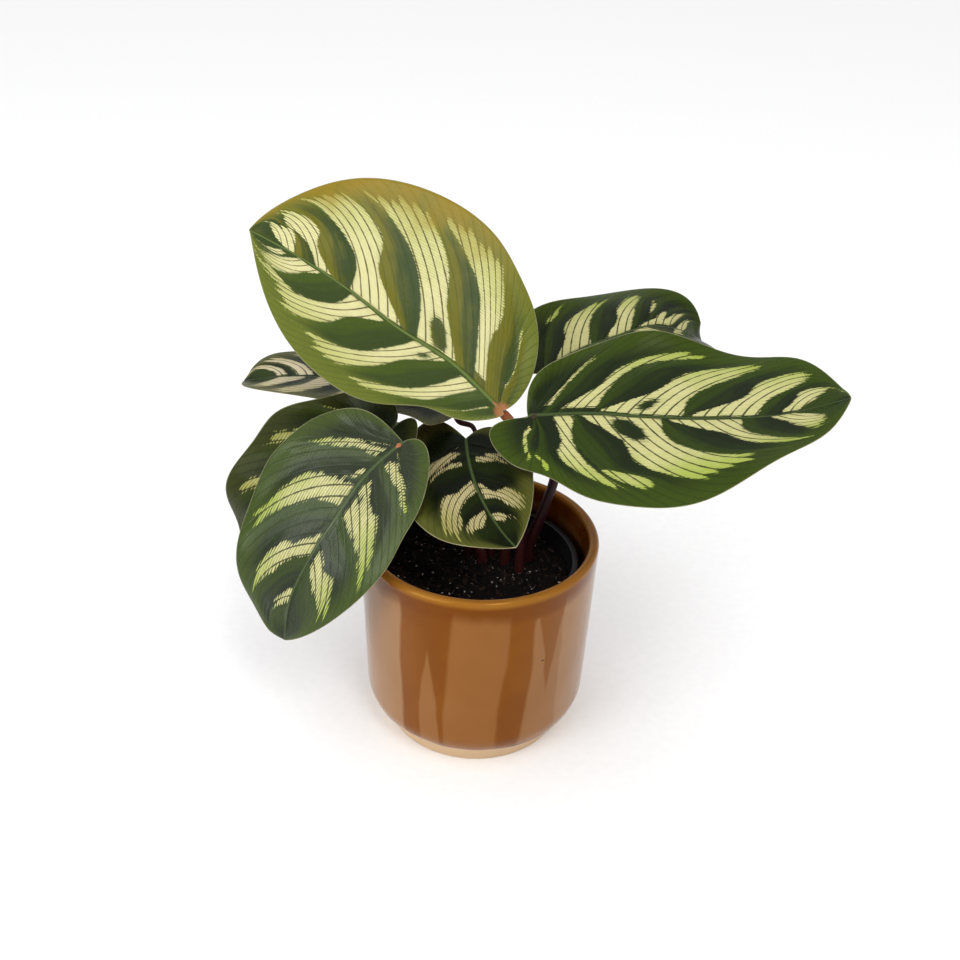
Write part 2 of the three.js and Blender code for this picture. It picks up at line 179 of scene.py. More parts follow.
def tube_faces(rings: int, sides: int) -> list[tuple[int, ...]]:
    """Faces of a stack of rings, closed at its ends by the two points that follow them.

    Args:
        rings: Number of rings.
        sides: Points in a ring.

    Returns:
        The quads between the rings, then the triangles of the first and the last end.
    """
    faces = grid_faces(rings, sides, closed=True)
    first = rings * sides
    last_ring = first - sides
    for j in range(sides):
        following = (j + 1) % sides
        faces.append((first, following, j))
        faces.append((first + 1, last_ring + j, last_ring + following))
    return faces


def lathe(name: str, profile: np.ndarray, sides: int) -> Piece:
    """Turns a profile about the Z axis.

    Args:
        name: The piece's name.
        profile: Radius and height of each point, from the axis outside, over and back to the axis.
        sides: Steps round the axis.

    Returns:
        The closed object.
    """
    angle = np.arange(sides) * 2 * np.pi / sides
    ring = profile[1:-1]
    x = ring[:, :1] * np.cos(angle)
    y = ring[:, :1] * np.sin(angle)
    z = np.repeat(ring[:, 1:], sides, axis=1)
    points = np.stack([x, y, z], -1).reshape(-1, 3)
    points = np.concatenate([points, [[0, 0, profile[0, 1]], [0, 0, profile[-1, 1]]]])
    return new_piece(name, points, tube_faces(len(ring), sides))


def arc(centre: tuple[float, float], radius: float, start: float, end: float, steps: int) -> np.ndarray:
    """Points on an arc in a profile, from one angle to another in degrees, both ends included."""
    angle = np.radians(np.linspace(start, end, steps + 1))
    return np.stack([centre[0] + radius * np.cos(angle), centre[1] + radius * np.sin(angle)], -1)


def line(start: tuple[float, float], end: tuple[float, float], steps: int) -> np.ndarray:
    """Points on a straight stretch of a profile, both ends included."""
    return np.linspace(start, end, steps + 1)


def apply_modifiers(piece: Piece) -> None:
    """Makes a piece's modifiers part of its mesh.

    Args:
        piece: The piece.
    """
    graph = bpy.context.evaluated_depsgraph_get()
    plain = bpy.data.meshes.new_from_object(piece.evaluated_get(graph))
    piece.modifiers.clear()
    piece.data = plain


def finish_piece(piece: Piece, materials: Sequence[Material], slot: str, *nodes: str) -> None:
    """Dresses a piece, puts it on the body and reports it.

    Args:
        piece: The piece.
        materials: Its materials, in the order of its faces' numbers. Empty if it has them already.
        slot: Not used.
        nodes: The CAD nodes that it stands for.
    """
    for material in materials:
        piece.data.materials.append(material)
    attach(piece, BODY)
    if nodes:
        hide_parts(*nodes)
    log.info("%s: %d faces", piece.name, len(piece.data.polygons))


# ---------------------------------------------------------------- node trees


class Tree:
    """A node tree with short ways to add nodes. Values may be numbers or sockets."""

    def __init__(self, tree: NodeTree) -> None:
        """Wraps a tree, which is emptied."""
        self.tree = tree
        tree.nodes.clear()

    def put(self, socket: Socket, value: object) -> None:
        """Fills one input.

        Args:
            socket: The input.
            value: A socket to link to it, or its own number, colour, vector, object or material.
        """
        if isinstance(value, Socket):
            self.tree.links.new(value, socket)
        elif isinstance(value, tuple) and len(value) == 3 and socket.type == "RGBA":
            socket.default_value = (*value, 1.0)
        else:
            socket.default_value = value

    def node(self, kind: str, inputs: Optional[dict] = None, **settings: object) -> bpy.types.Node:
        """Adds a node.

        Args:
            kind: The node's type.
            inputs: What to put into its inputs, by their name or number.
            settings: The node's own properties.

        Returns:
            The node.
        """
        made = self.tree.nodes.new(kind)
        for name, value in settings.items():
            setattr(made, name, value)
        for key, value in (inputs or {}).items():
            self.put(made.inputs[key], value)
        return made

    def math(self, operation: str, *values: Value, clamp: bool = False) -> Socket:
        """A Math node of an operation on one to three values."""
        made = self.node("ShaderNodeMath", dict(enumerate(values)), operation=operation, use_clamp=clamp)
        return made.outputs[0]

    def plus(self, first: Value, second: Value) -> Socket:
        """The sum of two values."""
        return self.math("ADD", first, second)

    def minus(self, first: Value, second: Value) -> Socket:
        """The first value less the second."""
        return self.math("SUBTRACT", first, second)

    def times(self, first: Value, second: Value) -> Socket:
        """The product of two values."""
        return self.math("MULTIPLY", first, second)

    def over(self, first: Value, second: Value) -> Socket:
        """The first value divided by the second."""
        return self.math("DIVIDE", first, second)

    def root_of_squares(self, first: Value, second: Value) -> Socket:
        """The length of the hypotenuse over two sides."""
        return self.math("SQRT", self.plus(self.math("POWER", first, 2.0), self.math("POWER", second, 2.0)))

    def vector(self, operation: str, *values: object) -> Socket:
        """A Vector Math node of an operation."""
        return self.node("ShaderNodeVectorMath", dict(enumerate(values)), operation=operation).outputs[0]

    def rise(self, value: Value, low: Value, high: Value, start: float = 0.0, end: float = 1.0) -> Socket:
        """A smooth change from start to end as a value goes from low to high."""
        given = {"Value": value, "From Min": low, "From Max": high, "To Min": start, "To Max": end}
        return self.node("ShaderNodeMapRange", given, interpolation_type="SMOOTHSTEP").outputs[0]

    def mix(self, share: Value, first: Tint, second: Tint) -> Socket:
        """A mix of two colours."""
        return self.node("ShaderNodeMix", {0: share, 6: first, 7: second}, data_type="RGBA").outputs[2]

    def noise(self, place: Socket, scale: float, detail: float = 3.0, rough: float = 0.5) -> Socket:
        """Noise from 0 to 1 at a place."""
        given = {"Vector": place, "Scale": scale, "Detail": detail, "Roughness": rough}
        return self.node("ShaderNodeTexNoise", given).outputs["Fac"]

    def attribute(self, name: str) -> tuple[Socket, Socket, Socket]:
        """The three values of a vector attribute of the piece."""
        return self.split(self.node("ShaderNodeAttribute", attribute_name=name).outputs["Vector"])

    def split(self, vector: Socket) -> tuple[Socket, Socket, Socket]:
        """The three parts of a vector."""
        return tuple(self.node("ShaderNodeSeparateXYZ", {0: vector}).outputs)

    def join(self, *parts: Value) -> Socket:
        """A vector of three values."""
        return self.node("ShaderNodeCombineXYZ", dict(enumerate(parts))).outputs[0]

    def place(self) -> Socket:
        """Object coordinates, in metres."""
        return self.node("ShaderNodeTexCoord").outputs["Object"]

    def group(self, tree: NodeTree, **values: object) -> bpy.types.bpy_prop_collection:
        """The outputs of a node group, whose inputs are set by name, with _ for a space."""
        inputs = {name.replace("_", " "): value for name, value in values.items()}
        return self.node("ShaderNodeGroup", inputs, node_tree=tree).outputs

    def bump(self, height: Value, strength: float, distance: float) -> Socket:
        """A bumped normal. The distance is in millimetres."""
        given = {"Strength": strength, "Distance": distance * MM, "Height": height}
        return self.node("ShaderNodeBump", given).outputs[0]


@dataclass(frozen=True)
class Shine:
    """Constants of a surface shader."""

    specular: float = 0.5
    tint: Colour = (1.0, 1.0, 1.0)
    subsurface: float = 0.0
    subsurface_radius: Colour = (0.001, 0.001, 0.0005)


def surface(
    tree: Tree, shine: Shine, colour: Tint, roughness: Value, normal: Optional[Socket] = None
) -> None:
    """Ends a material's tree in a Principled shader.

    Args:
        tree: The material's tree.
        shine: The shader's constants.
        colour: The base colour.
        roughness: The roughness.
        normal: A bumped normal, or None.
    """
    inputs = {
        "Base Color": colour,
        "Roughness": roughness,
        "Specular IOR Level": shine.specular,
        "Specular Tint": shine.tint,
        "Subsurface Weight": shine.subsurface,
        "Subsurface Radius": shine.subsurface_radius,
    }
    if normal is not None:
        inputs["Normal"] = normal
    shader = tree.node("ShaderNodeBsdfPrincipled", inputs)
    tree.node("ShaderNodeOutputMaterial", {"Surface": shader.outputs[0]})


class Finish:
    """A finish that makes a node material of its own."""

    def paint(self, tree: Tree) -> None:
        """Lays out the material's nodes in its empty tree."""
        raise NotImplementedError

    def dress(self, name: str) -> Material:
        """Makes the material.

        Args:
            name: The material's name.

        Returns:
            The material.
        """
        made = bpy.data.materials.new(name)
        made.use_nodes = True
        self.paint(Tree(made.node_tree))
        return made


@dataclass(frozen=True)
class MottledFinish(Finish):
    """A finish made uneven by the shared mottle group."""

    mottle: NodeTree

    def mottled(self, tree: Tree, size: float, seed: float) -> bpy.types.bpy_prop_collection:
        """The group's coarse, fine and mixed values, for patches of a size in millimetres."""
        return tree.group(self.mottle, Place=tree.place(), Size=size, Seed=seed)


class ShaderGroup:
    """A shader node group with named inputs and outputs."""

    def __init__(self, name: str, inputs: dict[str, float], outputs: Sequence[str]) -> None:
        """Makes the group with its sockets.

        Args:
            name: The group's name.
            inputs: Its inputs with their defaults. One with a default of None is a vector.
            outputs: The names of its outputs.
        """
        self.data = bpy.data.node_groups.new(name, "ShaderNodeTree")
        for label, default in inputs.items():
            kind = "NodeSocketVector" if default is None else "NodeSocketFloat"
            socket = self.data.interface.new_socket(label, in_out="INPUT", socket_type=kind)
            if default is not None:
                socket.default_value = default
        for label in outputs:
            self.data.interface.new_socket(label, in_out="OUTPUT", socket_type="NodeSocketFloat")
        self.tree = Tree(self.data)
        self.given = self.tree.node("NodeGroupInput").outputs
        self.result = self.tree.node("NodeGroupOutput").inputs


def vein_group() -> NodeTree:
    """Fine side veins and the still finer cross veins between them.

    Returns:
        The group. Line is 1 on a side vein, Hatch is 1 on a cross vein, and Tooth is a random
        value for each field between cross veins.
    """
    inputs = {"Number": 0.0, "Run": 0.0, "Gap": 2.0, "Cross Gap": 0.6}
    group = ShaderGroup("leaf_veins", inputs, ["Line", "Hatch", "Tooth"])
    tree, given = group.tree, group.given
    number, run = given["Number"], given["Run"]

    def wavering(layer: float, scale: float) -> Socket:
        """Noise along the strips, different for each layer."""
        return tree.noise(tree.join(number, run, layer), scale, 2.0)

    strip = tree.math("FLOOR", number)
    part = tree.math("FRACT", number)
    away = tree.times(tree.math("MINIMUM", part, tree.minus(1.0, part)), given["Gap"])
    edge = tree.times(tree.minus(wavering(0.0, 0.9), 0.3), 0.3)
    tree.put(group.result["Line"], tree.rise(away, edge, tree.plus(edge, 0.22), 1.0, 0.0))
    shift = tree.node("ShaderNodeTexWhiteNoise", {"W": strip}, noise_dimensions="1D").outputs[0]
    bend = tree.times(wavering(3.0, 0.8), 0.7)
    count = tree.over(tree.plus(tree.plus(run, shift), bend), given["Cross Gap"])
    wave = tree.math("ABSOLUTE", tree.minus(tree.math("FRACT", count), 0.5))
    patchy = tree.rise(wavering(7.0, 2.2), 0.3, 0.55, 0.6, 1.0)
    tree.put(group.result["Hatch"], tree.times(tree.rise(wave, 0.12, 0.32, 1.0, 0.0), patchy))
    field_number = tree.join(strip, tree.math("FLOOR", count), 0.0)
    tooth = tree.node("ShaderNodeTexWhiteNoise", {"Vector": field_number}, noise_dimensions="2D")
    tree.put(group.result["Tooth"], tooth.outputs[0])
    return group.data


def mottle_group() -> NodeTree:
    """Soft unevenness of a colour or roughness, from a coarse and a fine noise.

    Returns:
        The group. Coarse and Fine lie about 0.5, and Mixed is their mean.
    """
    group = ShaderGroup("mottle", {"Place": None, "Size": 10.0, "Seed": 0.0}, ["Coarse", "Fine", "Mixed"])
    tree, given = group.tree, group.given
    shifted = tree.vector("ADD", given["Place"], tree.join(*[given["Seed"]] * 3))
    inputs = {0: shifted, "Scale": tree.over(1 / MM, given["Size"])}
    scaled = tree.node("ShaderNodeVectorMath", inputs, operation="SCALE").outputs[0]
    coarse = tree.noise(scaled, 1.0, 2.0)
    fine = tree.noise(scaled, 7.0, 4.0, 0.6)
    results = {"Coarse": coarse, "Fine": fine, "Mixed": tree.times(tree.plus(coarse, fine), 0.5)}
    for name, value in results.items():
        tree.put(group.result[name], value)
    return group.data


# ---------------------------------------------------------------- the leaves' shape


class Side(Enum):
    """The two halves of a blade, seen from the stalk with the upper face up."""

    LEFT = 1
    RIGHT = -1


@dataclass(frozen=True)
class Flame:
    """A light stripe between two veins. Its borders are given at four equal steps of its reach."""

    near: tuple[float, float, float, float]
    far: tuple[float, float, float, float]
    start: float
    end: float


@dataclass(frozen=True)
class Spot:
    """A dark spot in the light stripes, at a vein and a reach, with its half sizes."""

    vein: float
    reach: float
    half_vein: float
    half_reach: float


@dataclass(frozen=True)
class Half:
    """One half of a blade: its outline as in the CAD solid, and its markings."""

    half: float
    full: float
    sharp: float
    lobe: float = 0.0
    dent: float = 0.0
    dent_at: float = 0.3
    wave: tuple[float, float, float] = (0.0, 1.0, 0.0)  # height, count and start
    flames: tuple[Flame, ...] = ()
    spots: tuple[Spot, ...] = ()


DENT_WIDTH = 0.07
DENT_FADE = 0.1
LOBE_AT = 0.12
NARROW = 0.25
VEIN_LEAN = 0.62
VEIN_SOFTNESS = 0.06
VEIN_BOW = 0.375
LEAST_STEP = 7.2  # least spacing of the veins' roots, in millimetres over the whole leaf
FRAME_STEPS = 32
ROW_SPREAD = 1.15
RIDGE = 0.9
RIDGE_RISE = (4.0, 14.0)
RIDGE_TAPER = 0.85
VEIN_SWEEP = 0.35  # how much further forward than the rows the real veins run out
SWEEP_FROM = 0.15
SWEEP_POWER = 2.5


@dataclass(frozen=True)
class BladeFinish:
    """Colours of a blade's upper face."""

    cream: Colour
    lime: Colour
    deep: Colour
    mid: Colour
    margin: Colour
    vein: Colour
    midrib: Colour
    vein_gap: float
    cross_gap: float
    hatch: float
    fray: float
    # mid colours the right half's blotches and mid_left the left half's; where they differ, the right
    # half's lighter olive is painted backlight.
    mid_left: Colour
    gloss: float = 0.16
    rib_fade: float = 90.0
    rib_width: float = 0.7
    # Which side of each blotch is painted lighter and which darker, as light falls on the pleats.
    lean: float = 1.0
    joint_reach: float = 0.0
    # A warm tint near the right half's edge, painted as light shining through the blade from behind, and
    # its strength.
    backlit_glow: Colour = (0.0, 0.0, 0.0)
    backlit_glow_strength: float = 0.0


@dataclass
class Leaf:
    """A blade on its stalk."""

    name: str
    base: Point
    length: float
    heading: float
    pitch: float
    roll: float
    droop: float
    tip_droop: float
    sickle: float
    twist: float
    fold: float
    cup: float
    left: Half
    right: Half
    crown: tuple[float, float]
    elbows: tuple[Point, ...]
    approach: tuple[float, float]
    finish: BladeFinish
    slot: str
    stalk_scale: float = 1.0
    joint_tint: float = 0.15
    sway: tuple[float, ...] = (0.0, 0.0, 0.0, 0.0, 0.0, 0.0)
    pleat: float = 0.1
    rows: int = 190
    reaches: int = 44
    thickness: float = 0.34
    frames: dict[str, np.ndarray] = field(default_factory=dict)

    def __post_init__(self) -> None:
        """Steps the midrib's frames from the base to the tip."""
        heading, pitch, roll = (math.radians(v) for v in (self.heading, self.pitch, self.roll))
        flat = math.cos(pitch)
        along = Vector((math.cos(heading) * flat, math.sin(heading) * flat, math.sin(pitch)))
        side = Matrix.Rotation(roll, 3, along) @ Vector((0, 0, 1)).cross(along).normalized()
        place = Vector(self.base)
        rows = [(place, along, side, along.cross(side))]
        for i in range(FRAME_STEPS):
            place, along, side, up = rows[-1]
            share = (i + 0.5) / FRAME_STEPS
            down = math.radians(self.droop + self.tip_droop * 3 * share**2) / FRAME_STEPS
            turn = math.radians(self.sickle) / FRAME_STEPS
            spin = math.radians(self.twist) / FRAME_STEPS
            half = (along - up * down / 2 + side * turn / 2).normalized()
            ahead = (along - up * down + side * turn).normalized()
            side = side - along * turn + up * spin
            side = (side - ahead * side.dot(ahead)).normalized()
            rows.append((place + half * self.length / FRAME_STEPS, ahead, side, ahead.cross(side)))
        names = ("place", "along", "side", "up")
        self.frames = {key: np.array([row[k] for row in rows]) for k, key in enumerate(names)}

    def outline(self, half: Half, share: np.ndarray) -> tuple[np.ndarray, np.ndarray]:
        """How far along and how far out one half's edge lies.

        Args:
            half: The half.
            share: The way round the outline, from 0 at the stalk to 1 at the tip.

        Returns:
            Distances along the midrib and out from it.
        """
        widest = half.full / (half.full + half.sharp)
        most = widest**half.full * (1 - widest) ** half.sharp
        out = half.half * share**half.full * (1 - share) ** half.sharp / most
        lobe_share = share / LOBE_AT
        back = half.lobe * lobe_share * np.exp(1 - lobe_share)
        along = self.length * (1 - np.cos(np.pi * share)) / 2 - back
        dip = half.dent * np.exp(-(((share - half.dent_at) / DENT_WIDTH) ** 2))
        return along, out - dip * np.minimum(1, share / DENT_FADE)

    def roots(self, share: np.ndarray) -> np.ndarray:
        """How far along the midrib the veins of each row start.

        Args:
            share: Share of the outline at each row, from 0.

        Returns:
            Distances from the stalk, which rise from row to row.
        """
        soft = VEIN_SOFTNESS * self.length

        def ease(value: np.ndarray) -> np.ndarray:
            """Spreads the first roots, which would start behind the stalk."""
            return soft * (np.log1p(np.exp(value / soft)) - math.log(2))

        edges = [self.outline(half, share) for half in (self.left, self.right)]
        mean = sum(along - VEIN_LEAN * out for along, out in edges) / 2
        eased = ease(mean) / ease(np.array(self.length)) * self.length
        found = np.zeros_like(share)
        for i in range(1, len(share)):
            step = LEAST_STEP * (share[i] - share[i - 1])
            found[i] = max(eased[i], found[i - 1] + step)
        return found

    def sway_at(self, along: np.ndarray) -> np.ndarray:
        """How far the real midrib lies to the left of the straight one."""
        return through(np.array(self.sway), along / self.length)

    def lift(self, half: Half, share: np.ndarray, out: np.ndarray) -> np.ndarray:
        """How far a flat point of the blade stands above the midrib's own plane.

        Args:
            half: The half it lies on.
            share: Share of the outline of its row.
            out: Its distance from the midrib.

        Returns:
            Heights, from the fold, the cup and the wave of the edge.
        """
        mean = (self.left.half + self.right.half) / 2
        bulge = np.sin(np.pi * share)
        height, count, start = half.wave
        edge = np.minimum(out / mean / np.maximum(bulge, NARROW), 1) ** 2 * np.sqrt(np.maximum(bulge, 0))
        wave = height * np.sin(2 * np.pi * (count * share + start)) * edge
        return out * math.sin(math.radians(self.fold)) + self.cup * (out / mean) ** 2 * mean + wave

    def bent(self, along: np.ndarray, out: np.ndarray, above: np.ndarray) -> np.ndarray:
        """Carries points from the straight midrib on to the bent one, in millimetres.

        Args:
            along: Distances along the straight midrib.
            out: Distances to the left of it.
            above: Heights above the flat blade.

        Returns:
            The points on the bent blade.
        """
        inside = np.clip(along, 0, self.length)
        at = {key: through(rows, inside / self.length) for key, rows in self.frames.items()}
        flat = math.cos(math.radians(self.fold))
        past = (along - inside)[..., None] * at["along"]
        return at["place"] + past + (out * flat)[..., None] * at["side"] + above[..., None] * at["up"]

    def flat_grid(self) -> "BladeGrid":
        """Lays out the blade in the flat.

        Returns:
            The grid, in rows that run from the left edge to the right one.
        """
        share = (np.arange(1, self.rows) / self.rows) ** ROW_SPREAD
        roots = self.roots(np.concatenate([[0.0], share]))[1:]
        out_steps = np.linspace(0, 1, self.reaches + 1)
        signed = np.concatenate([out_steps[::-1], -out_steps[1:]])
        grid = BladeGrid(share, roots, signed)
        for side, half in ((Side.LEFT, self.left), (Side.RIGHT, self.right)):
            columns = signed >= 0 if side is Side.LEFT else signed < 0
            reach = np.abs(signed[columns])[None, :]
            edge_along, edge_out = (v[:, None] for v in self.outline(half, share))
            root = roots[:, None]
            inner = (1 - reach) ** 2 * root
            middle = 2 * reach * (1 - reach) * (root + VEIN_BOW * edge_out)
            grid.along[:, columns] = inner + middle + reach**2 * edge_along
            out = reach * edge_out
            grid.out[:, columns] = side.value * out + self.sway_at(root) * (1 - reach)
            grid.lift[:, columns] = self.lift(half, share[:, None], out)
            grid.rib[:, columns] = out
        return grid


@dataclass
class BladeGrid:
    """Values at each point of a blade, in rows from the stalk to the tip."""

    share: np.ndarray
    roots: np.ndarray
    signed: np.ndarray
    along: np.ndarray = field(init=False)
    out: np.ndarray = field(init=False)
    lift: np.ndarray = field(init=False)
    rib: np.ndarray = field(init=False)

    def __post_init__(self) -> None:
        """Makes room for the values."""
        shape = (len(self.share), len(self.signed))
        self.along, self.out, self.lift, self.rib = (np.zeros(shape) for _ in range(4))

    @property
    def reach(self) -> np.ndarray:
        """The reach of each point."""
        return np.broadcast_to(np.abs(self.signed)[None, :], self.along.shape)

    @property
    def vein(self) -> np.ndarray:
        """The real vein that each point lies on.

        Returns:
            Vein numbers, which sweep forward of the rows towards the edge.
        """
        swept = VEIN_SWEEP * self.reach**SWEEP_POWER
        share = self.share[:, None]
        moved = (share + SWEEP_FROM * swept) / (1 + swept)
        return np.where(share > SWEEP_FROM, moved, share * np.ones_like(swept))

    def vein_width(self) -> np.ndarray:
        """Measures how far apart the veins lie.

        Returns:
            Millimetres across the veins for each unit of vein.
        """
        flat = np.stack([self.along, self.out], -1)
        by_row = np.gradient(flat, axis=0)
        by_column = np.gradient(flat, axis=1)
        vein_row, vein_column = np.gradient(self.vein, axis=0), np.gradient(self.vein, axis=1)
        area = np.abs(by_row[..., 0] * by_column[..., 1] - by_row[..., 1] * by_column[..., 0])
        slope = by_column * vein_row[..., None] - by_row * vein_column[..., None]
        return area / np.maximum(np.linalg.norm(slope, axis=-1), 1e-6)

    def run(self) -> np.ndarray:
        """Measures along the rows.

        Returns:
            Millimetres from the midrib.
        """
        flat = np.stack([self.along, self.out], -1)
        middle = len(self.signed) // 2
        step = np.linalg.norm(np.diff(flat, axis=1), axis=-1)
        right = np.cumsum(step[:, middle:], axis=1)
        left = np.cumsum(step[:, :middle][:, ::-1], axis=1)[:, ::-1]
        return np.concatenate([left, np.zeros((len(flat), 1)), right], axis=1)

    def edge_distance(self) -> np.ndarray:
        """Measures how near the edge each point lies.

        Returns:
            Millimetres to the nearest point of the edge.
        """
        flat = np.stack([self.along, self.out], -1)
        rim = np.concatenate([flat[:, 0], flat[::-1, -1]])
        finer = np.concatenate([rim, (rim + np.roll(rim, 1, axis=0)) / 2])
        best = np.full(self.along.shape, np.inf)
        for point in finer:
            away = np.hypot(self.along - point[0], self.out - point[1])
            np.minimum(best, away, out=best)
        return best


SPIKE = 2.6  # how far the tongues at a flame's end run out, in millimetres
RAGGED = 3.4
MARK_LIMIT = 4.0
START_SHARE = 0.8
TIP_SHARE = 0.55
OPEN_BLOTCH = 0.12  # how far a blotch runs where no flame borders it, as veins are numbered
HASH_PITCH = 12.9898
HASH_SCALE = 43758.5453
TINY = 1e-9


def hashed(number: np.ndarray) -> np.ndarray:
    """A fixed pseudo-random value from 0 to 1 for each whole number."""
    value = np.sin(number * HASH_PITCH) * HASH_SCALE
    return value - np.floor(value)


def markings(half: Half, grid: BladeGrid, columns: np.ndarray, gap: float) -> tuple[np.ndarray, np.ndarray]:
    """The light markings of one half.

    Args:
        half: The half with its flames and spots.
        grid: The blade's grid.
        columns: The half's columns in the grid.
        gap: Veins between two fine veins.

    Returns:
        The signed distance into a flame in millimetres, and the place across the dark blotch
        between two flames, from -1 to 1.
    """
    vein, reach = grid.vein[:, columns], grid.reach[:, columns]
    width = grid.vein_width()[:, columns]
    length = np.broadcast_to(grid.run()[:, [0 if columns[0] else -1]], vein.shape)
    strip = vein / gap
    part = np.abs(strip - np.floor(strip) - 0.5) * 2
    tongue = SPIKE * (1 - part**1.5) + RAGGED * (hashed(np.floor(strip)) - 1.0)
    mark = np.full(vein.shape, -MARK_LIMIT * 2)
    before = np.full(vein.shape, OPEN_BLOTCH)
    after = np.full(vein.shape, OPEN_BLOTCH)
    for flame in half.flames:
        share = np.clip((reach - flame.start) / (flame.end - flame.start), 0, 1)
        near = through(np.array(flame.near), share)
        far = through(np.array(flame.far), share)
        across = np.minimum(vein - near, far - vein) * width
        begin = (reach - flame.start) * length * START_SHARE
        finish = ((flame.end - reach) * length + tongue) * TIP_SHARE
        mark = np.maximum(mark, np.minimum(np.minimum(across, begin), finish))
        before = np.where(vein > far, np.minimum(before, vein - far), before)
        after = np.where(vein < near, np.minimum(after, near - vein), after)
    for spot in half.spots:
        away = np.hypot((vein - spot.vein) / spot.half_vein, (reach - spot.reach) / spot.half_reach)
        size = min(spot.half_vein * float(width.mean()), spot.half_reach * float(length.mean()))
        mark = np.minimum(mark, (away - 1) * size)
    return np.clip(mark, -MARK_LIMIT, MARK_LIMIT), (before - after) / (before + after + TINY)


class Blade:
    """A blade's mesh: an upper face, an underside with the midrib's ridge, and a thin rim."""

    RIB_WIDTH = 0.5
    RIB_HEIGHT = 0.14
    CHANNEL_WIDTH = 1.5
    CHANNEL_DEPTH = 0.28
    RIDGE_WIDTH = 1.15
    RIM_SHARE = 0.3
    THIN_FROM = 2.5
    PLEAT_DEPTHS = (-3.2, 2.2)  # distances from a flame's border at which the pleats are full
    PLEAT_REACH = 0.12
    PLEAT_EDGE = (0.5, 6.0)
    RIB_TAPER = 0.7
    RIB_EDGE = 2.0
    UNDER_RELIEF = 0.6
    RIGHT_NUMBERS = 200.0  # keeps the right half's vein numbers apart from the left half's
    MAP_SIZE = (0.46, 0.96)
    MAP_CORNER = (0.01, 0.02)
    RIM_COLUMN = 0.492
    RIM_WIDTH = 0.006
    RIM_GAP = 0.01

    def __init__(self, leaf: Leaf) -> None:
        """Works out the blade's grid and markings.

        Args:
            leaf: The leaf.
        """
        self.leaf = leaf
        self.grid = leaf.flat_grid()
        grid = self.grid
        self.edge = grid.edge_distance()
        self.mark = np.zeros(grid.along.shape)
        self.blotch = np.zeros(grid.along.shape)
        for half, columns in ((leaf.left, grid.signed >= 0), (leaf.right, grid.signed < 0)):
            mark, blotch = markings(half, grid, columns, leaf.finish.vein_gap)
            self.mark[:, columns] = mark
            self.blotch[:, columns] = blotch

    def relief(self) -> np.ndarray:
        """Works out the pleats along the veins and the midrib in its channel.

        Returns:
            Height of the upper face above the plain blade.
        """
        grid = self.grid
        pleat = self.leaf.pleat * np.clip(self.mark, *self.PLEAT_DEPTHS)
        inner = smoothstep(0.0, self.PLEAT_REACH, grid.reach) * smoothstep(*self.PLEAT_EDGE, self.edge)
        taper = 1 - self.RIB_TAPER * np.clip(grid.along / self.leaf.length, 0, 1)
        rib = self.RIB_HEIGHT * np.exp(-((grid.rib / self.RIB_WIDTH) ** 2))
        channel = -self.CHANNEL_DEPTH * np.exp(-((grid.rib / self.CHANNEL_WIDTH) ** 2))
        near_edge = smoothstep(0.0, self.RIB_EDGE, self.edge)
        return pleat * inner + (rib + channel) * taper * near_edge

    def build(self) -> Piece:
        """Makes the mesh with the attributes that its materials read.

        Returns:
            The blade, with material slots for the upper face, the underside and the rim.
        """
        leaf, grid = self.leaf, self.grid
        rows, columns = grid.along.shape
        relief = self.relief()
        thin = self.RIM_SHARE + (1 - self.RIM_SHARE) * smoothstep(0.0, self.THIN_FROM, self.edge)
        half = leaf.thickness / 2 * thin
        rise = smoothstep(*RIDGE_RISE, grid.along) * (1 - RIDGE_TAPER * grid.along / leaf.length)
        ridge = RIDGE * np.clip(rise, 0, 1) * np.exp(-((grid.rib / self.RIDGE_WIDTH) ** 2))
        top = leaf.bent(grid.along, grid.out, grid.lift + relief + half)
        under = leaf.bent(grid.along, grid.out, grid.lift + self.UNDER_RELIEF * relief - half - ridge)
        ends = leaf.bent(np.array([0.0, leaf.length]), np.zeros(2), np.zeros(2))
        points = np.concatenate([top.reshape(-1, 3), under.reshape(-1, 3), ends])
        count = rows * columns
        upper = grid_faces(rows, columns)
        lower = [(d + count, c + count, b + count, a + count) for a, b, c, d in upper]
        base, tip = 2 * count, 2 * count + 1
        right = columns - 1
        last = count - columns
        rim = []
        for a in range(0, last, columns):
            b = a + columns
            rim.append((a, b, b + count, a + count))
            rim.append((a + right, a + right + count, b + right + count, b + right))
        for j in range(right):
            upper += [(base, j + 1, j), (tip, last + j, last + j + 1)]
            low, high = count + j, count + last + j
            lower += [(base, low, low + 1), (tip, high + 1, high)]
        rim += [(base, 0, count), (base, count + right, right)]
        rim += [(tip, count + last, last), (tip, last + right, count + last + right)]
        piece = new_piece(leaf.name + "_leaf", points, upper + lower + rim)
        slots = [0] * len(upper) + [1] * len(lower) + [2] * len(rim)
        piece.data.polygons.foreach_set("material_index", slots)
        self.write_attributes(piece)
        self.write_map(piece, len(upper), len(lower))
        return piece

    def write_attributes(self, piece: Piece) -> None:
        """Gives each vertex what the materials read.

        Args:
            piece: The blade. It gets vein number, run and edge distance as "veins", the signed
                distance into a flame, the place across a blotch and the reach as "marks", and
                the places from the midrib, along it and across it as "flat".
        """
        grid = self.grid
        number = grid.vein / self.leaf.finish.vein_gap
        number = number + np.where(grid.signed < 0, self.RIGHT_NUMBERS, 0.0)[None, :]
        vectors = {
            "veins": (number, grid.run(), self.edge),
            "marks": (self.mark, self.blotch, grid.reach),
            "flat": (grid.rib, grid.along, grid.out),
        }
        for name, parts in vectors.items():
            face = np.stack([part.ravel() for part in parts], -1)
            add_attribute(piece, name, np.concatenate([face, face, np.zeros((2, 3))]))

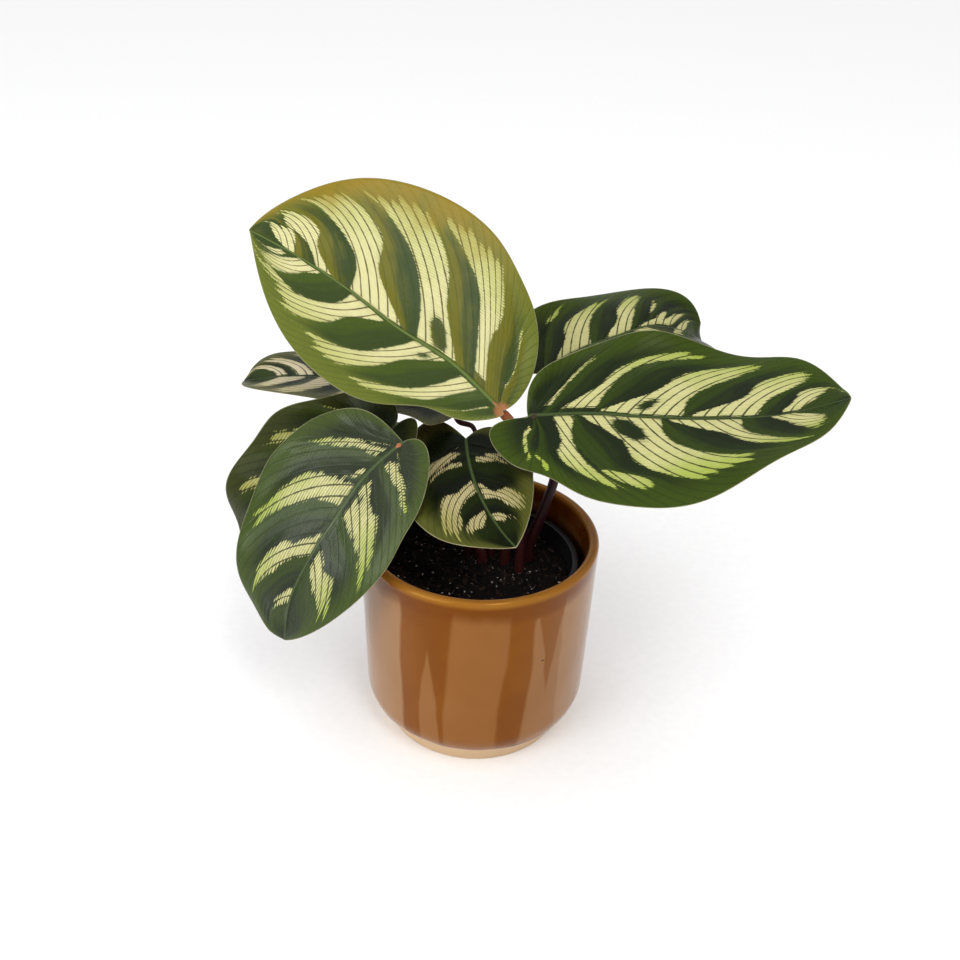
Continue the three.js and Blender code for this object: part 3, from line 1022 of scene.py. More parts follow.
    def write_map(self, piece: Piece, upper: int, lower: int) -> None:
        """Lays the two faces side by side in a map, with the rim in a strip between them.

        Args:
            piece: The blade.
            upper: Number of faces of the upper face.
            lower: Number of faces of the underside.
        """
        grid, leaf = self.grid, self.leaf
        low, high = grid.out.min(), grid.out.max()
        back = grid.along.min()
        left, bottom = self.MAP_CORNER
        scale = min(self.MAP_SIZE[0] / (high - low), self.MAP_SIZE[1] / (leaf.length - back))
        u = left + (grid.out.ravel() - low) * scale
        v = bottom + (grid.along.ravel() - back) * scale
        end_u = left - low * scale
        ends_v = [bottom - back * scale, bottom + (leaf.length - back) * scale]
        u_of = np.concatenate([u, u, [end_u] * 2])
        v_of = np.concatenate([v, v, ends_v])
        mesh = piece.data
        corners = np.zeros(len(mesh.loops), int)
        mesh.loops.foreach_get("vertex_index", corners)
        starts = np.zeros(len(mesh.polygons), int)
        mesh.polygons.foreach_get("loop_start", starts)
        face_of = np.searchsorted(starts, np.arange(len(mesh.loops)), side="right") - 1
        place = np.stack([u_of[corners], v_of[corners]], -1)
        is_lower = (face_of >= upper) & (face_of < upper + lower)
        place[is_lower, 0] = 1.0 - place[is_lower, 0]
        is_rim = face_of >= upper + lower
        count = grid.along.size
        is_under = (corners >= count) & (corners < 2 * count)
        columns = len(grid.signed)
        is_right = corners % columns == columns - 1
        column = self.RIM_COLUMN + self.RIM_WIDTH * is_under + self.RIM_GAP * is_right
        place[is_rim, 0] = column[is_rim]
        layer = mesh.uv_layers.new(name="OFBake")
        layer.data.foreach_set("uv", place.astype(np.float32).ravel())


# ---------------------------------------------------------------- the leaves' finish


JOINT_COLOUR = srgb(156, 100, 62)
# A pale line along the blade's edge, a painted highlight.
RIM_HIGHLIGHT = srgb(150, 148, 112)
FIELD_WIDTH = 2.1  # millimetres between two fine side veins, as the vein group counts them
RIGHT_FROM = (100.0, 101.0)  # vein numbers that part the left half's from the right half's


@dataclass(frozen=True)
class BladeTop(MottledFinish):
    """The upper face: cream flames with fine veins, dark blotches and a green margin."""

    veins: NodeTree
    finish: BladeFinish

    def paint(self, tree: Tree) -> None:
        """Lays the flames over the dark ground, with painted light and shade on the blotches and a painted
        backlight glow, then the midrib, the joint and the painted rim highlight over both.

        Args:
            tree: The material's tree.
        """
        finish = self.finish
        number, run, edge = tree.attribute("veins")
        mark, blotch, reach = tree.attribute("marks")
        rib, along, _ = tree.attribute("flat")
        given = {"Number": number, "Run": run, "Gap": FIELD_WIDTH, "Cross_Gap": finish.cross_gap}
        vein, hatch, tooth = tree.group(self.veins, **given)
        coarse, fine, _ = self.mottled(tree, 9.0, 0.3)
        right = tree.rise(number, *RIGHT_FROM)

        def uneven(value: Socket, share: float) -> Socket:
            """A value with a share of the coarse mottle added."""
            return tree.plus(value, tree.times(coarse, share))

        teeth = tree.times(tree.minus(tooth, 0.35), 1.3 * finish.fray)
        notches = tree.times(tree.minus(hatch, 0.3), 0.5 * finish.fray + 0.2)
        rough_edge = tree.times(tree.minus(fine, 0.5), 0.7)
        border = tree.plus(mark, tree.minus(tree.plus(rough_edge, teeth), notches))
        is_light = tree.rise(border, -0.14, 0.26)

        light = tree.mix(tree.rise(uneven(reach, 0.4), 0.5, 1.15), finish.cream, finish.lime)
        light = tree.mix(tree.rise(fine, 0.35, 0.75, 0.0, 0.3), light, finish.lime)
        thin = tree.rise(border, 0.0, 1.5, 1.0, 0.6)
        light = tree.mix(tree.times(tree.times(hatch, thin), finish.hatch), light, finish.vein)
        light = tree.mix(tree.times(vein, 0.95), light, finish.vein)

        # Painted light and shade: each blotch is lighter on one side and darker on the other, as light
        # falls on its pleat.
        lean = tree.rise(uneven(tree.times(blotch, finish.lean), 1.6), 0.1, 1.5)
        dark = tree.mix(lean, tree.mix(right, finish.mid_left, finish.mid), finish.deep)
        width = uneven(tree.math("ABSOLUTE", blotch), 0.35)
        dark = tree.mix(tree.rise(width, 0.16, 0.46, 0.7, 0.0), dark, finish.deep)
        dark = tree.mix(tree.rise(uneven(reach, 0.2), 0.72, 1.06), dark, finish.margin)
        halo = tree.times(tree.rise(mark, -2.2, 0.0), tree.rise(reach, 0.45, 0.85))
        dark = tree.mix(tree.times(halo, 0.6), dark, finish.margin)
        dark = tree.mix(tree.times(vein, 0.3), dark, finish.deep)

        colour = tree.mix(is_light, dark, light)
        # Painted backlight: a warm glow near the right half's edge, fading towards the stalk.
        backlit_glow = tree.rise(uneven(reach, 0.5), 0.85, 1.3, 0.0, finish.backlit_glow_strength)
        backlit_glow = tree.times(backlit_glow, tree.rise(along, 4.0, 50.0))
        colour = tree.mix(tree.times(backlit_glow, right), colour, finish.backlit_glow)

        from_rib = tree.over(rib, tree.rise(along, 0.0, finish.rib_fade, 1.0, 0.4))
        colour = tree.mix(tree.rise(from_rib, 0.4, 1.2, 0.5, 0.0), colour, finish.deep)
        crest = tree.rise(from_rib, 0.35 * finish.rib_width, finish.rib_width, 0.85, 0.0)
        colour = tree.mix(crest, colour, finish.midrib)
        if finish.joint_reach > 0:
            away = tree.root_of_squares(along, rib)
            joint = tree.rise(away, 0.4 * finish.joint_reach, finish.joint_reach, 0.85, 0.0)
            colour = tree.mix(joint, colour, JOINT_COLOUR)
        # Painted highlight: a pale line along the edge.
        colour = tree.mix(tree.rise(uneven(edge, 0.3), 0.24, 0.44, 0.6, 0.0), colour, RIM_HIGHLIGHT)

        roughness = tree.plus(tree.times(coarse, 0.16), tree.rise(is_light, 0.0, 1.0, 0.2, 0.34))
        height = tree.plus(tree.times(vein, -0.7), tree.times(hatch, -0.35))
        normal = tree.bump(tree.plus(height, tree.times(fine, 0.5)), 0.5, 0.12)
        shine = Shine(specular=finish.gloss, tint=(0.95, 1.0, 0.8), subsurface=0.04)
        surface(tree, shine, colour, roughness, normal)


@dataclass(frozen=True)
class BladeUnderside(MottledFinish):
    """The purple-brown underside, with raised veins."""

    veins: NodeTree
    base: Colour = srgb(92, 36, 46)
    pale: Colour = srgb(120, 74, 66)
    vein: Colour = srgb(128, 92, 74)

    def paint(self, tree: Tree) -> None:
        """Lays paler patches, veins, joint and the painted rim highlight over the base colour.

        Args:
            tree: The material's tree.
        """
        number, run, edge = tree.attribute("veins")
        mark, _, _ = tree.attribute("marks")
        rib, along, _ = tree.attribute("flat")
        vein, _, _ = tree.group(self.veins, Number=number, Run=run, Gap=FIELD_WIDTH, Cross_Gap=0.7)
        coarse, fine, mixed = self.mottled(tree, 8.0, 1.7)
        colour = tree.mix(tree.rise(mixed, 0.3, 0.75), self.base, self.pale)
        colour = tree.mix(tree.rise(mark, -0.5, 1.2, 0.0, 0.5), colour, self.pale)
        colour = tree.mix(tree.times(vein, 0.4), colour, self.vein)
        colour = tree.mix(tree.rise(rib, 0.5, 1.5, 0.8, 0.0), colour, self.vein)
        joint = tree.rise(tree.plus(along, rib), 1.0, 7.0, 0.9, 0.0)
        colour = tree.mix(joint, colour, JOINT_COLOUR)
        # Painted highlight: a pale line along the edge.
        colour = tree.mix(tree.rise(edge, 0.15, 0.45, 0.7, 0.0), colour, RIM_HIGHLIGHT)
        normal = tree.bump(tree.plus(vein, tree.times(fine, 0.5)), 0.5, 0.15)
        roughness = tree.rise(coarse, 0.3, 0.7, 0.42, 0.58)
        surface(tree, Shine(specular=0.4, subsurface=0.05), colour, roughness, normal)


@dataclass(frozen=True)
class BladeRim(MottledFinish):
    """The thin edge of a blade, pale as a painted highlight."""

    brown: Colour = srgb(150, 110, 78)

    def paint(self, tree: Tree) -> None:
        """Mottles the edge's painted pale highlight with brown."""
        _, _, mixed = self.mottled(tree, 5.0, 2.9)
        surface(tree, Shine(), tree.mix(tree.rise(mixed, 0.35, 0.65), RIM_HIGHLIGHT, self.brown), 0.5)


@dataclass(frozen=True)
class StalkFinish(MottledFinish):
    """Dark maroon stalk, browner where the sheath wraps it, orange at the joint."""

    maroon: Colour = srgb(60, 17, 21)
    dark: Colour = srgb(30, 9, 11)
    sheath: Colour = srgb(70, 32, 27)
    joint: Colour = srgb(150, 88, 54)

    def paint(self, tree: Tree) -> None:
        """Lays the sheath, dark specks and the joint over a streaked maroon.

        Args:
            tree: The material's tree.
        """
        share, turn, joint = tree.attribute("stalk")
        streak = tree.noise(tree.join(tree.times(turn, 9.0), tree.times(share, 2.5), 0.0), 2.0)
        coarse, fine, _ = self.mottled(tree, 4.0, 4.1)
        colour = tree.mix(tree.rise(streak, 0.35, 0.7), self.dark, self.maroon)
        colour = tree.mix(tree.rise(share, 0.12, 0.4, 0.55, 0.0), colour, self.sheath)
        colour = tree.mix(tree.rise(fine, 0.55, 0.8, 0.0, 0.3), colour, self.dark)
        colour = tree.mix(tree.rise(joint, 0.1, 0.8), colour, self.joint)
        normal = tree.bump(tree.plus(streak, tree.times(fine, 0.6)), 0.5, 0.12)
        roughness = tree.rise(coarse, 0.3, 0.7, 0.34, 0.5)
        surface(tree, Shine(specular=0.25, subsurface=0.04), colour, roughness, normal)


# ---------------------------------------------------------------- stalks

SOIL_LEVEL = 58.6
HOLE_DEPTH = 12.0
COLLAR = (1.2, 4.0)
BLADE_THICKNESS = 0.8
CLEARANCE = 0.3
STALK_SEAT = 1.2
STALK_RADIUS = 1.3
SHEATH_RADIUS = 1.9
SHEATH_ENDS = (0.15, 0.45)
JOINT_RADIUS = 1.6
JOINT_SWELLS = (0.79, 0.87)
JOINT_TAPERS = (0.96, 1.0)
END_RADIUS = 1.15
CURVE_STEPS = 40


def centripetal(points: np.ndarray, steps: int) -> np.ndarray:
    """Points on the centripetal Catmull-Rom curve through given points, evenly spaced.

    Args:
        points: The points it passes.
        steps: Number of steps wanted.

    Returns:
        steps + 1 points.
    """
    padded = np.concatenate([[2 * points[0] - points[1]], points, [2 * points[-1] - points[-2]]])
    fine = []
    for a, b, c, d in zip(padded, padded[1:], padded[2:], padded[3:]):
        before, here, after = (np.linalg.norm(q - p) ** 0.5 for p, q in ((a, b), (b, c), (c, d)))
        leave = ((b - a) / before - (c - a) / (before + here) + (c - b) / here) * here
        arrive = ((c - b) / here - (d - b) / (here + after) + (d - c) / after) * here
        t = np.linspace(0, 1, CURVE_STEPS, endpoint=False)[:, None]
        square = 3 * (c - b) - 2 * leave - arrive
        cube = 2 * (b - c) + leave + arrive
        fine.append(b + leave * t + square * t**2 + cube * t**3)
    dense = np.concatenate([*fine, points[-1:]])
    run = np.concatenate([[0], np.cumsum(np.linalg.norm(np.diff(dense, axis=0), axis=1))])
    wanted = np.linspace(0, run[-1], steps + 1)
    return np.stack([np.interp(wanted, run, dense[:, k]) for k in range(3)], -1)


@dataclass
class Stalk:
    """A leaf's stalk: sheathed where it leaves the soil, jointed where it meets the blade."""

    leaf: Leaf
    steps: int = 110
    sides: int = 24

    NECK = (2.5, 7.0)  # where the stalk runs on below the midrib
    NECK_DEPTHS = (-0.9, -0.7)
    NECK_STEPS = 30
    NECK_SKIP = 10
    NECK_RADIUS = 0.35
    JOINT_TINTED = (0.8, 0.86)
    GROOVE_DEPTH = 0.14
    GROOVE_WIDTH = 0.4
    GROOVE_LEFT = 0.35  # share of the groove that is left above the sheath
    SHEATH_GROOVE = (0.1, 0.5)
    WRINKLE = 0.02
    WRINKLE_PITCH = 2.1

    def build(self) -> Piece:
        """Makes the stalk's mesh, which runs on into the blade's midrib.

        Returns:
            The stalk, with its share of length, turn and joint as an attribute.
        """
        leaf = self.leaf
        place, along, up = (leaf.frames[key][0] for key in ("place", "along", "up"))
        back, below = leaf.approach
        rim = END_RADIUS * leaf.stalk_scale * back / math.hypot(back, below)
        end = place + along * STALK_SEAT - up * (BLADE_THICKNESS / 2 + CLEARANCE + rim)
        x, y = leaf.crown
        upright = [(x, y, SOIL_LEVEL + z) for z in (-HOLE_DEPTH, *COLLAR)]
        guide = np.array([*upright, *leaf.elbows, end - along * back - up * below, end])
        path = centripetal(guide, self.steps)
        run = np.linspace(0, 1, self.steps + 1)
        inside = np.array(self.NECK)
        neck = leaf.bent(inside, leaf.sway_at(inside), np.array(self.NECK_DEPTHS))
        extra = centripetal(np.concatenate([path[[-4, -1]], neck]), self.NECK_STEPS)
        path = np.concatenate([path, extra[self.NECK_SKIP :]])
        beyond = np.linspace(0, 1, len(path) - len(run) + 1)[1:]
        thinning = leaf.stalk_scale * (END_RADIUS * (1 - beyond) + self.NECK_RADIUS * beyond)
        radius = np.concatenate([self.radius(run), thinning])
        share = np.concatenate([run, np.ones(len(beyond))])
        swollen = np.concatenate([smoothstep(*self.JOINT_TINTED, run), np.ones(len(beyond))])
        return self.tube(path, radius, share, leaf.joint_tint * swollen)

    def radius(self, share: np.ndarray) -> np.ndarray:
        """The stalk's radius at shares of its length.

        Args:
            share: The shares, from 0 in the soil to 1 at the blade.

        Returns:
            The radii in millimetres.
        """
        wrap = (SHEATH_RADIUS - STALK_RADIUS) * (1 - smoothstep(*SHEATH_ENDS, share))
        swell = (JOINT_RADIUS - STALK_RADIUS) * smoothstep(*JOINT_SWELLS, share)
        taper = (JOINT_RADIUS - END_RADIUS) * smoothstep(*JOINT_TAPERS, share)
        return self.leaf.stalk_scale * (STALK_RADIUS + wrap + swell - taper)

    def tube(
        self, path: np.ndarray, radius: np.ndarray, share: np.ndarray, joint: np.ndarray
    ) -> Piece:
        """Sweeps a grooved ring along a path.

        Args:
            path: Centres of the rings.
            radius: Radius of each ring.
            share: Share of the length at each ring.
            joint: How much of each ring belongs to the swollen joint.

        Returns:
            The closed tube.
        """
        tangent = np.gradient(path, axis=0)
        tangent /= np.linalg.norm(tangent, axis=1)[:, None]
        side = np.cross(tangent[0], [0.0, 1.0, 0.0])
        side /= np.linalg.norm(side)
        angle = np.arange(self.sides) * 2 * np.pi / self.sides
        groove = self.GROOVE_DEPTH * np.exp(-(((angle - np.pi) / self.GROOVE_WIDTH) ** 2))
        rings = []
        for k, centre in enumerate(path):
            side = side - tangent[k] * side.dot(tangent[k])
            side /= np.linalg.norm(side)
            other = np.cross(tangent[k], side)
            sheathed = 1 - smoothstep(*self.SHEATH_GROOVE, share[k])
            grooved = max(sheathed, self.GROOVE_LEFT * (1 - joint[k]))
            wrinkle = 1 + self.WRINKLE * joint[k] * math.sin(k * self.WRINKLE_PITCH)
            reach = radius[k] * wrinkle * (1 - groove * grooved)[:, None]
            rings.append(centre + reach * (np.cos(angle)[:, None] * side + np.sin(angle)[:, None] * other))
        count = len(path)
        points = np.concatenate([*rings, path[:1], path[-1:]])
        piece = new_piece(self.leaf.name + "_petiole", points, tube_faces(count, self.sides))
        turn = np.tile(np.abs(np.sin(angle / 2)), count)
        values = np.stack([np.repeat(share, self.sides), turn, np.repeat(joint, self.sides)], -1)
        add_attribute(piece, "stalk", np.concatenate([values, [[0, 0, 0], [1, 0, 1]]]))
        return piece


# ---------------------------------------------------------------- pots and soil


@dataclass
class GlazedPot:
    """The round ceramic pot, with the profile of its CAD node."""

    lip_radius: float = 40.0
    height: float = 73.9
    wall: float = 3.4
    waist_radius: float = 38.4
    waist_height: float = 13.0
    glaze_height: float = 9.2
    glaze_step: float = 0.35
    shoulder_centre: tuple[float, float] = (13.2, 3.36)  # in from the waist and up from it
    shoulder_round: float = 13.3
    foot_radius: float = 31.3
    foot_round: float = 0.7
    recess: float = 0.35
    recess_radius: float = 28.0
    floor: float = 5.5
    inner_corner: float = 9.0
    inner_low: float = 20.0
    throat_depth: float = 12.0
    throat_step: float = 0.4
    sides: int = 192

    WOBBLES = ((0.07, 2, 0.7, 0.0), (0.04, 5, 0.0, 1 / 14))
    HEM_WAVES = ((0.25, 3, 1.3), (0.12, 8, 0.0), (0.05, 19, 2.0))
    HEM_REACH = 1.6
    WALL_FROM = 30.0

    def profile(self) -> tuple[np.ndarray, np.ndarray]:
        """The pot's outline from the middle of its foot, outside, over the lip and in to its floor.

        Returns:
            Radius and height of each point, and 1 where glaze coats it or 0 where clay is bare.
        """
        lip = self.wall / 2
        lip_start = self.height - lip - 1
        inner_top = self.lip_radius - self.wall
        throat = inner_top - self.throat_step
        throat_end = self.height - self.throat_depth
        inside = self.waist_radius - self.wall
        corner = self.inner_corner
        inset, raised = self.shoulder_centre
        centre = (self.waist_radius - inset, self.waist_height + raised)
        shoulder = arc(centre, self.shoulder_round, -30, -1.5, 12)
        bead = shoulder[0] - self.glaze_step * np.array([math.cos(math.radians(30)), -0.5])
        hem = arc(tuple(bead), self.glaze_step, -120, -40, 5)
        bare = [
            np.array([[0, self.recess]]),
            line((24.0, self.recess), (self.recess_radius - 1, self.recess), 2),
            arc((self.recess_radius, 0.5), 0.5, 200, 270, 3),
            arc((self.foot_radius - self.foot_round, self.foot_round), self.foot_round, -90, -30, 4),
            line((self.foot_radius + 0.3, 1.2), tuple(hem[0] - (0.03, 0.05)), 10),
        ]
        coated = [
            hem,
            shoulder,
            line((self.waist_radius + 0.17, self.waist_height + 5), (self.lip_radius, lip_start), 26),
            arc((self.lip_radius - lip, self.height - lip), lip, 0, 180, 14),
            line((inner_top, lip_start), (throat, throat_end), 6),
            line((throat, throat_end - 2), (inside, self.inner_low), 10),
            arc((inside - corner, self.floor + corner), corner, 0, -90, 8),
            np.array([[0, self.floor]]),
        ]
        counts = [sum(len(part) for part in parts) for parts in (bare, coated)]
        return np.concatenate(bare + coated), np.repeat([0.0, 1.0], counts)

    def build(self) -> Piece:
        """Makes the pot.

        Returns:
            The pot, with its coat of glaze as an attribute.
        """
        profile, coat = self.profile()
        piece = lathe("glazed_pot", profile, self.sides)
        rings = np.repeat(coat[1:-1], self.sides)
        add_attribute(piece, "coat", np.concatenate([rings, coat[[0, -1]]]))
        self.settle(piece)
        return piece

    def settle(self, piece: Piece) -> None:
        """Adds the slight unevenness of a thrown pot and of the hem of its glaze.

        Args:
            piece: The pot.
        """
        count = len(piece.data.vertices)
        points = np.zeros(count * 3)
        piece.data.vertices.foreach_get("co", points)
        points = points.reshape(-1, 3) / MM
        angle = np.arctan2(points[:, 1], points[:, 0])
        radius = np.hypot(points[:, 0], points[:, 1])
        height = points[:, 2]
        is_wall = (radius > self.WALL_FROM) & (height > self.glaze_height - 1) & (height < self.height - 1)
        wobble = sum(a * np.sin(n * angle + start + rise * height) for a, n, start, rise in self.WOBBLES)
        hem = sum(a * np.sin(n * angle + start) for a, n, start in self.HEM_WAVES)
        near_hem = np.exp(-(((height - self.glaze_height) / self.HEM_REACH) ** 2)) * (radius > 33)
        scale = 1 + np.where(is_wall, wobble, 0) / np.maximum(radius, 1)
        points[:, :2] *= scale[:, None]
        points[:, 2] += hem * near_hem
        piece.data.vertices.foreach_set("co", (points * MM).ravel())
        piece.data.update()


@dataclass(frozen=True)
class ReflectionVeil:
    """A broad band of painted reflection on the glaze, by its middle and half width in degrees.

    Pale is 0 for a milky band and 1 for a pale one. An amber band, which breaks the painted reflection
    with plain amber, has it below 0. A band with a taper comes to a point at its top, and is full that
    far below it, or above if it is negative.
    """

    middle: float
    half: float
    pale: float
    top: float
    taper: float = 0.0
    lean: float = 0.0


@dataclass(frozen=True)
class Fleck:
    """A small dark place in the glaze, by its angle and height, with its half sizes in mm."""

    angle: float
    height: float
    half_width: float
    half_height: float


@dataclass(frozen=True)
class GlazeFinish(MottledFinish):
    """Amber gloss glaze over pale clay: honey on the lip, broad milky and pale bands of painted reflection
    below, painted shade inside.
    """

    pot: GlazedPot
    amber: Colour = srgb(114, 60, 0)
    deep: Colour = srgb(92, 40, 0)
    # The milky and the pale colour paint the room's reflection on the glaze.
    milky_reflection: Colour = srgb(126, 77, 34)
    pale: Colour = srgb(146, 108, 74)
    honey: Colour = srgb(142, 94, 34)
    # Painted shade of the wall inside the lip.
    inside: Colour = srgb(50, 19, 4)
    fleck: Colour = srgb(48, 18, 4)
    clay: Colour = srgb(200, 170, 136)
    clay_grain: Colour = srgb(160, 130, 98)
    edge: float = 1.2
    wander: float = 8.0
    # Bands of painted reflection round the wall, with amber breaks in them.
    reflection_veils: tuple[ReflectionVeil, ...] = (
        ReflectionVeil(-64, 26.5, 0.9, 70), ReflectionVeil(-23, 5, 0.2, 54, taper=26), ReflectionVeil(0.5, 14, 0.1, 69.5, lean=2.3),
        ReflectionVeil(37, 10, 0.45, 67, lean=2), ReflectionVeil(69, 24, 0.9, 70), ReflectionVeil(37.5, 7, -1, 30, taper=-34),
        ReflectionVeil(116, 13, 0.3, 66), ReflectionVeil(152, 10, 0.5, 68), ReflectionVeil(-121, 15, 0.25, 65), ReflectionVeil(-159, 9, 0.6, 67),
        ReflectionVeil(96, 3, 0.3, 58, taper=20), ReflectionVeil(134, 5, -1, 25, taper=-30), ReflectionVeil(-139, 4, 0.3, 50, taper=24),
    )
    flecks: tuple[Fleck, ...] = (Fleck(33.7, 46.5, 0.7, 0.45), Fleck(-39.5, 10.6, 2.4, 0.8))

    def reflection_veil_mask(self, tree: Tree, angle: Socket, height: Socket, reflection_veil: ReflectionVeil) -> Socket:
        """Masks one band of painted reflection.

        Args:
            tree: The material's tree.
            angle: Degrees round the wall.
            height: Millimetres above the foot.
            reflection_veil: The band of painted reflection.

        Returns:
            How much the band covers each point.
        """
        lean = tree.times(tree.minus(height, 40.0), reflection_veil.lean / 30)
        away = tree.math("ABSOLUTE", tree.minus(angle, tree.plus(lean, reflection_veil.middle)))
        if not reflection_veil.taper:
            across = tree.rise(away, reflection_veil.half - self.edge, reflection_veil.half + self.edge, 1.0, 0.0)
            return tree.times(across, tree.rise(height, reflection_veil.top - 2.5, reflection_veil.top, 1.0, 0.0))
        below = tree.math("DIVIDE", tree.minus(reflection_veil.top, height), reflection_veil.taper, clamp=True)
        half = tree.times(below, reflection_veil.half)
        across = tree.rise(tree.minus(away, half), -self.edge, self.edge * 0.4, 1.0, 0.0)
        return tree.times(across, tree.rise(half, 0.0, 0.2 * reflection_veil.half))

    def fleck_mask(self, tree: Tree, fleck: Fleck) -> Socket:
        """Masks one fleck.

        Args:
            tree: The material's tree.
            fleck: The fleck.

        Returns:
            How much the fleck covers each point.
        """
        turn = math.radians(fleck.angle)
        radius = self.pot.waist_radius + 0.7
        centre = (radius * math.sin(turn) * MM, -radius * math.cos(turn) * MM, fleck.height * MM)
        sizes = (fleck.half_width, fleck.half_width, fleck.half_height)
        away = tree.vector("SUBTRACT", tree.place(), centre)
        scaled = tree.vector("MULTIPLY", away, tuple(1 / (size * MM) for size in sizes))
        length = tree.node("ShaderNodeVectorMath", {0: scaled}, operation="LENGTH").outputs["Value"]
        return tree.rise(length, 0.4, 1.1, 1.0, 0.0)

    def paint(self, tree: Tree) -> None:
        """Lays the painted reflection bands, the lip, the throat's painted shade and the flecks over the
        amber, and bare clay below the glaze.

        Args:
            tree: The material's tree.
        """
        pot = self.pot
        x, y, z = tree.split(tree.place())
        height = tree.over(z, MM)
        radius = tree.over(tree.root_of_squares(x, y), MM)
        coarse, _, _ = self.mottled(tree, 18.0, 5.5)
        flow = tree.noise(tree.vector("MULTIPLY", tree.place(), (1.0, 1.0, 0.4)), 70.0, 2.0)
        shift = tree.times(tree.minus(flow, 0.5), self.wander)
        turn = tree.math("ARCTAN2", x, tree.times(y, -1.0))
        angle = tree.plus(tree.times(turn, 180 / math.pi), shift)
        uneven = tree.plus(height, shift)
        colour = tree.mix(tree.rise(coarse, 0.35, 0.7, 0.0, 0.45), self.amber, self.deep)
        strength = tree.rise(coarse, 0.2, 0.8, 1.0, 0.8)
        # Painted reflection: milky and pale bands stand for the room mirrored in the glaze; amber breaks
        # them.
        for reflection_veil in self.reflection_veils:
            mask = tree.times(self.reflection_veil_mask(tree, angle, uneven, reflection_veil), strength)
            tint = self.amber if reflection_veil.pale < 0 else tree.mix(reflection_veil.pale, self.milky_reflection, self.pale)
            colour = tree.mix(mask, colour, tint)

        under_lip = tree.rise(height, 71.0, 72.4, 1.0, 0.0)
        band = tree.times(tree.rise(uneven, 64.5, 68.0, 0.0, 0.6), under_lip)
        colour = tree.mix(band, colour, self.deep)
        lip = tree.plus(height, tree.times(coarse, 2.0))
        lip = tree.times(tree.rise(lip, pot.height - 2.0, pot.height + 0.4), 0.85)
        colour = tree.mix(lip, colour, self.honey)
        hem = tree.rise(height, pot.glaze_height, pot.glaze_height + 2.6, 0.6, 0.0)
        colour = tree.mix(hem, colour, self.deep)
        # Painted shade: the inner wall darkens towards the inside colour, more deeply further below the
        # lip.
        throat = tree.rise(radius, 36.0, 36.9, 1.0, 0.0)
        throat = tree.times(throat, tree.rise(height, 64.0, 72.5, 1.0, 0.3))
        colour = tree.mix(throat, colour, self.inside)
        for fleck in self.flecks:
            colour = tree.mix(self.fleck_mask(tree, fleck), colour, self.fleck)

        bare = tree.minus(1.0, tree.attribute("coat")[0])
        grain = tree.noise(tree.place(), 2600.0, 3.0, 0.7)
        clay = tree.mix(tree.rise(grain, 0.45, 0.8, 0.0, 0.5), self.clay, self.clay_grain)
        colour = tree.mix(bare, colour, clay)
        roughness = tree.rise(bare, 0.0, 1.0, 0.06, 0.8)
        bumps = tree.plus(coarse, tree.times(tree.times(grain, bare), 0.3))
        normal = tree.bump(bumps, 0.3, 0.25)
        surface(tree, Shine(specular=0.36, tint=(1.0, 0.6, 0.16)), colour, roughness, normal)


@dataclass
class NurseryPot:
    """The thin plastic pot that the plant grows in."""

    rim_radius: float = 33.8
    lip_width: float = 1.3
    lip_drop: float = 1.6
    lip_flare: float = 0.8
    rim_height: float = 64.2
    base_radius: float = 23.0
    wall: float = 0.9
    bottom: float = 5.8
    drain_count: int = 5
    drain_radius: float = 2.6
    drain_circle: float = 14.0
    sides: int = 144

    DRAIN_SIDES = 24
    DRAIN_PAST = 2.0
    WELD = 0.001

    @property
    def body_radius(self) -> float:
        """Radius of the wall's outside just below the lip."""
        return self.rim_radius - self.lip_width

    @property
    def shoulder(self) -> float:
        """Height at which the lip starts to flare out."""
        return self.rim_height - self.lip_drop - self.lip_flare

    def build(self) -> Piece:
        """Makes the pot with its drain holes.

        Returns:
            The pot.
        """
        body, shoulder, base, bottom = self.body_radius, self.shoulder, self.base_radius, self.bottom
        inside = bottom + self.wall
        edge = self.wall * 0.45
        rim = self.rim_height - edge
        parts = [
            np.array([[0, bottom]]),
            line((8.0, bottom), (base - 1, bottom), 4),
            arc((base - 0.8, bottom + 0.8), 0.8, -90, -10, 4),
            line((base + 0.2, bottom + 1.5), (body, shoulder), 20),
            arc((self.rim_radius - 0.4, self.rim_height - self.lip_drop + 0.3), 0.4, -70, 0, 4),
            arc((self.rim_radius - edge, rim), edge, 0, 90, 5),
            arc((body - self.wall + edge, rim), edge, 90, 180, 5),
            line((body - self.wall, shoulder), (base - self.wall + 0.3, inside + 1.2), 20),
            line((base - self.wall - 1, inside), (8.0, inside), 4),
            np.array([[0, inside]]),
        ]
        piece = lathe("nursery_pot_shell", np.concatenate(parts), self.sides)
        self.drill(piece)
        return piece

    def drill(self, piece: Piece) -> None:
        """Cuts the drain holes through the bottom, and welds the cut mesh.

        Args:
            piece: The pot, without materials.
        """
        low, high = self.bottom - self.DRAIN_PAST, self.bottom + self.wall + self.DRAIN_PAST
        profile = np.array([[0, low], [self.drain_radius, low], [self.drain_radius, high], [0, high]])
        drills = []
        for i in range(self.drain_count):
            angle = i * 2 * math.pi / self.drain_count
            x, y = self.drain_circle * math.cos(angle), self.drain_circle * math.sin(angle)
            drill = lathe("drill", profile, self.DRAIN_SIDES)
            drill.data.transform(Matrix.Translation((x * MM, y * MM, 0)))
            cut = piece.modifiers.new("drill", "BOOLEAN")
            cut.operation = "DIFFERENCE"
            cut.object = drill
            drills.append(drill)
        apply_modifiers(piece)
        welded = bmesh.new()
        welded.from_mesh(piece.data)
        bmesh.ops.remove_doubles(welded, verts=welded.verts[:], dist=self.WELD * MM)
        welded.to_mesh(piece.data)
        welded.free()
        piece.data.materials.clear()
        for drill in drills:
            bpy.data.objects.remove(drill)


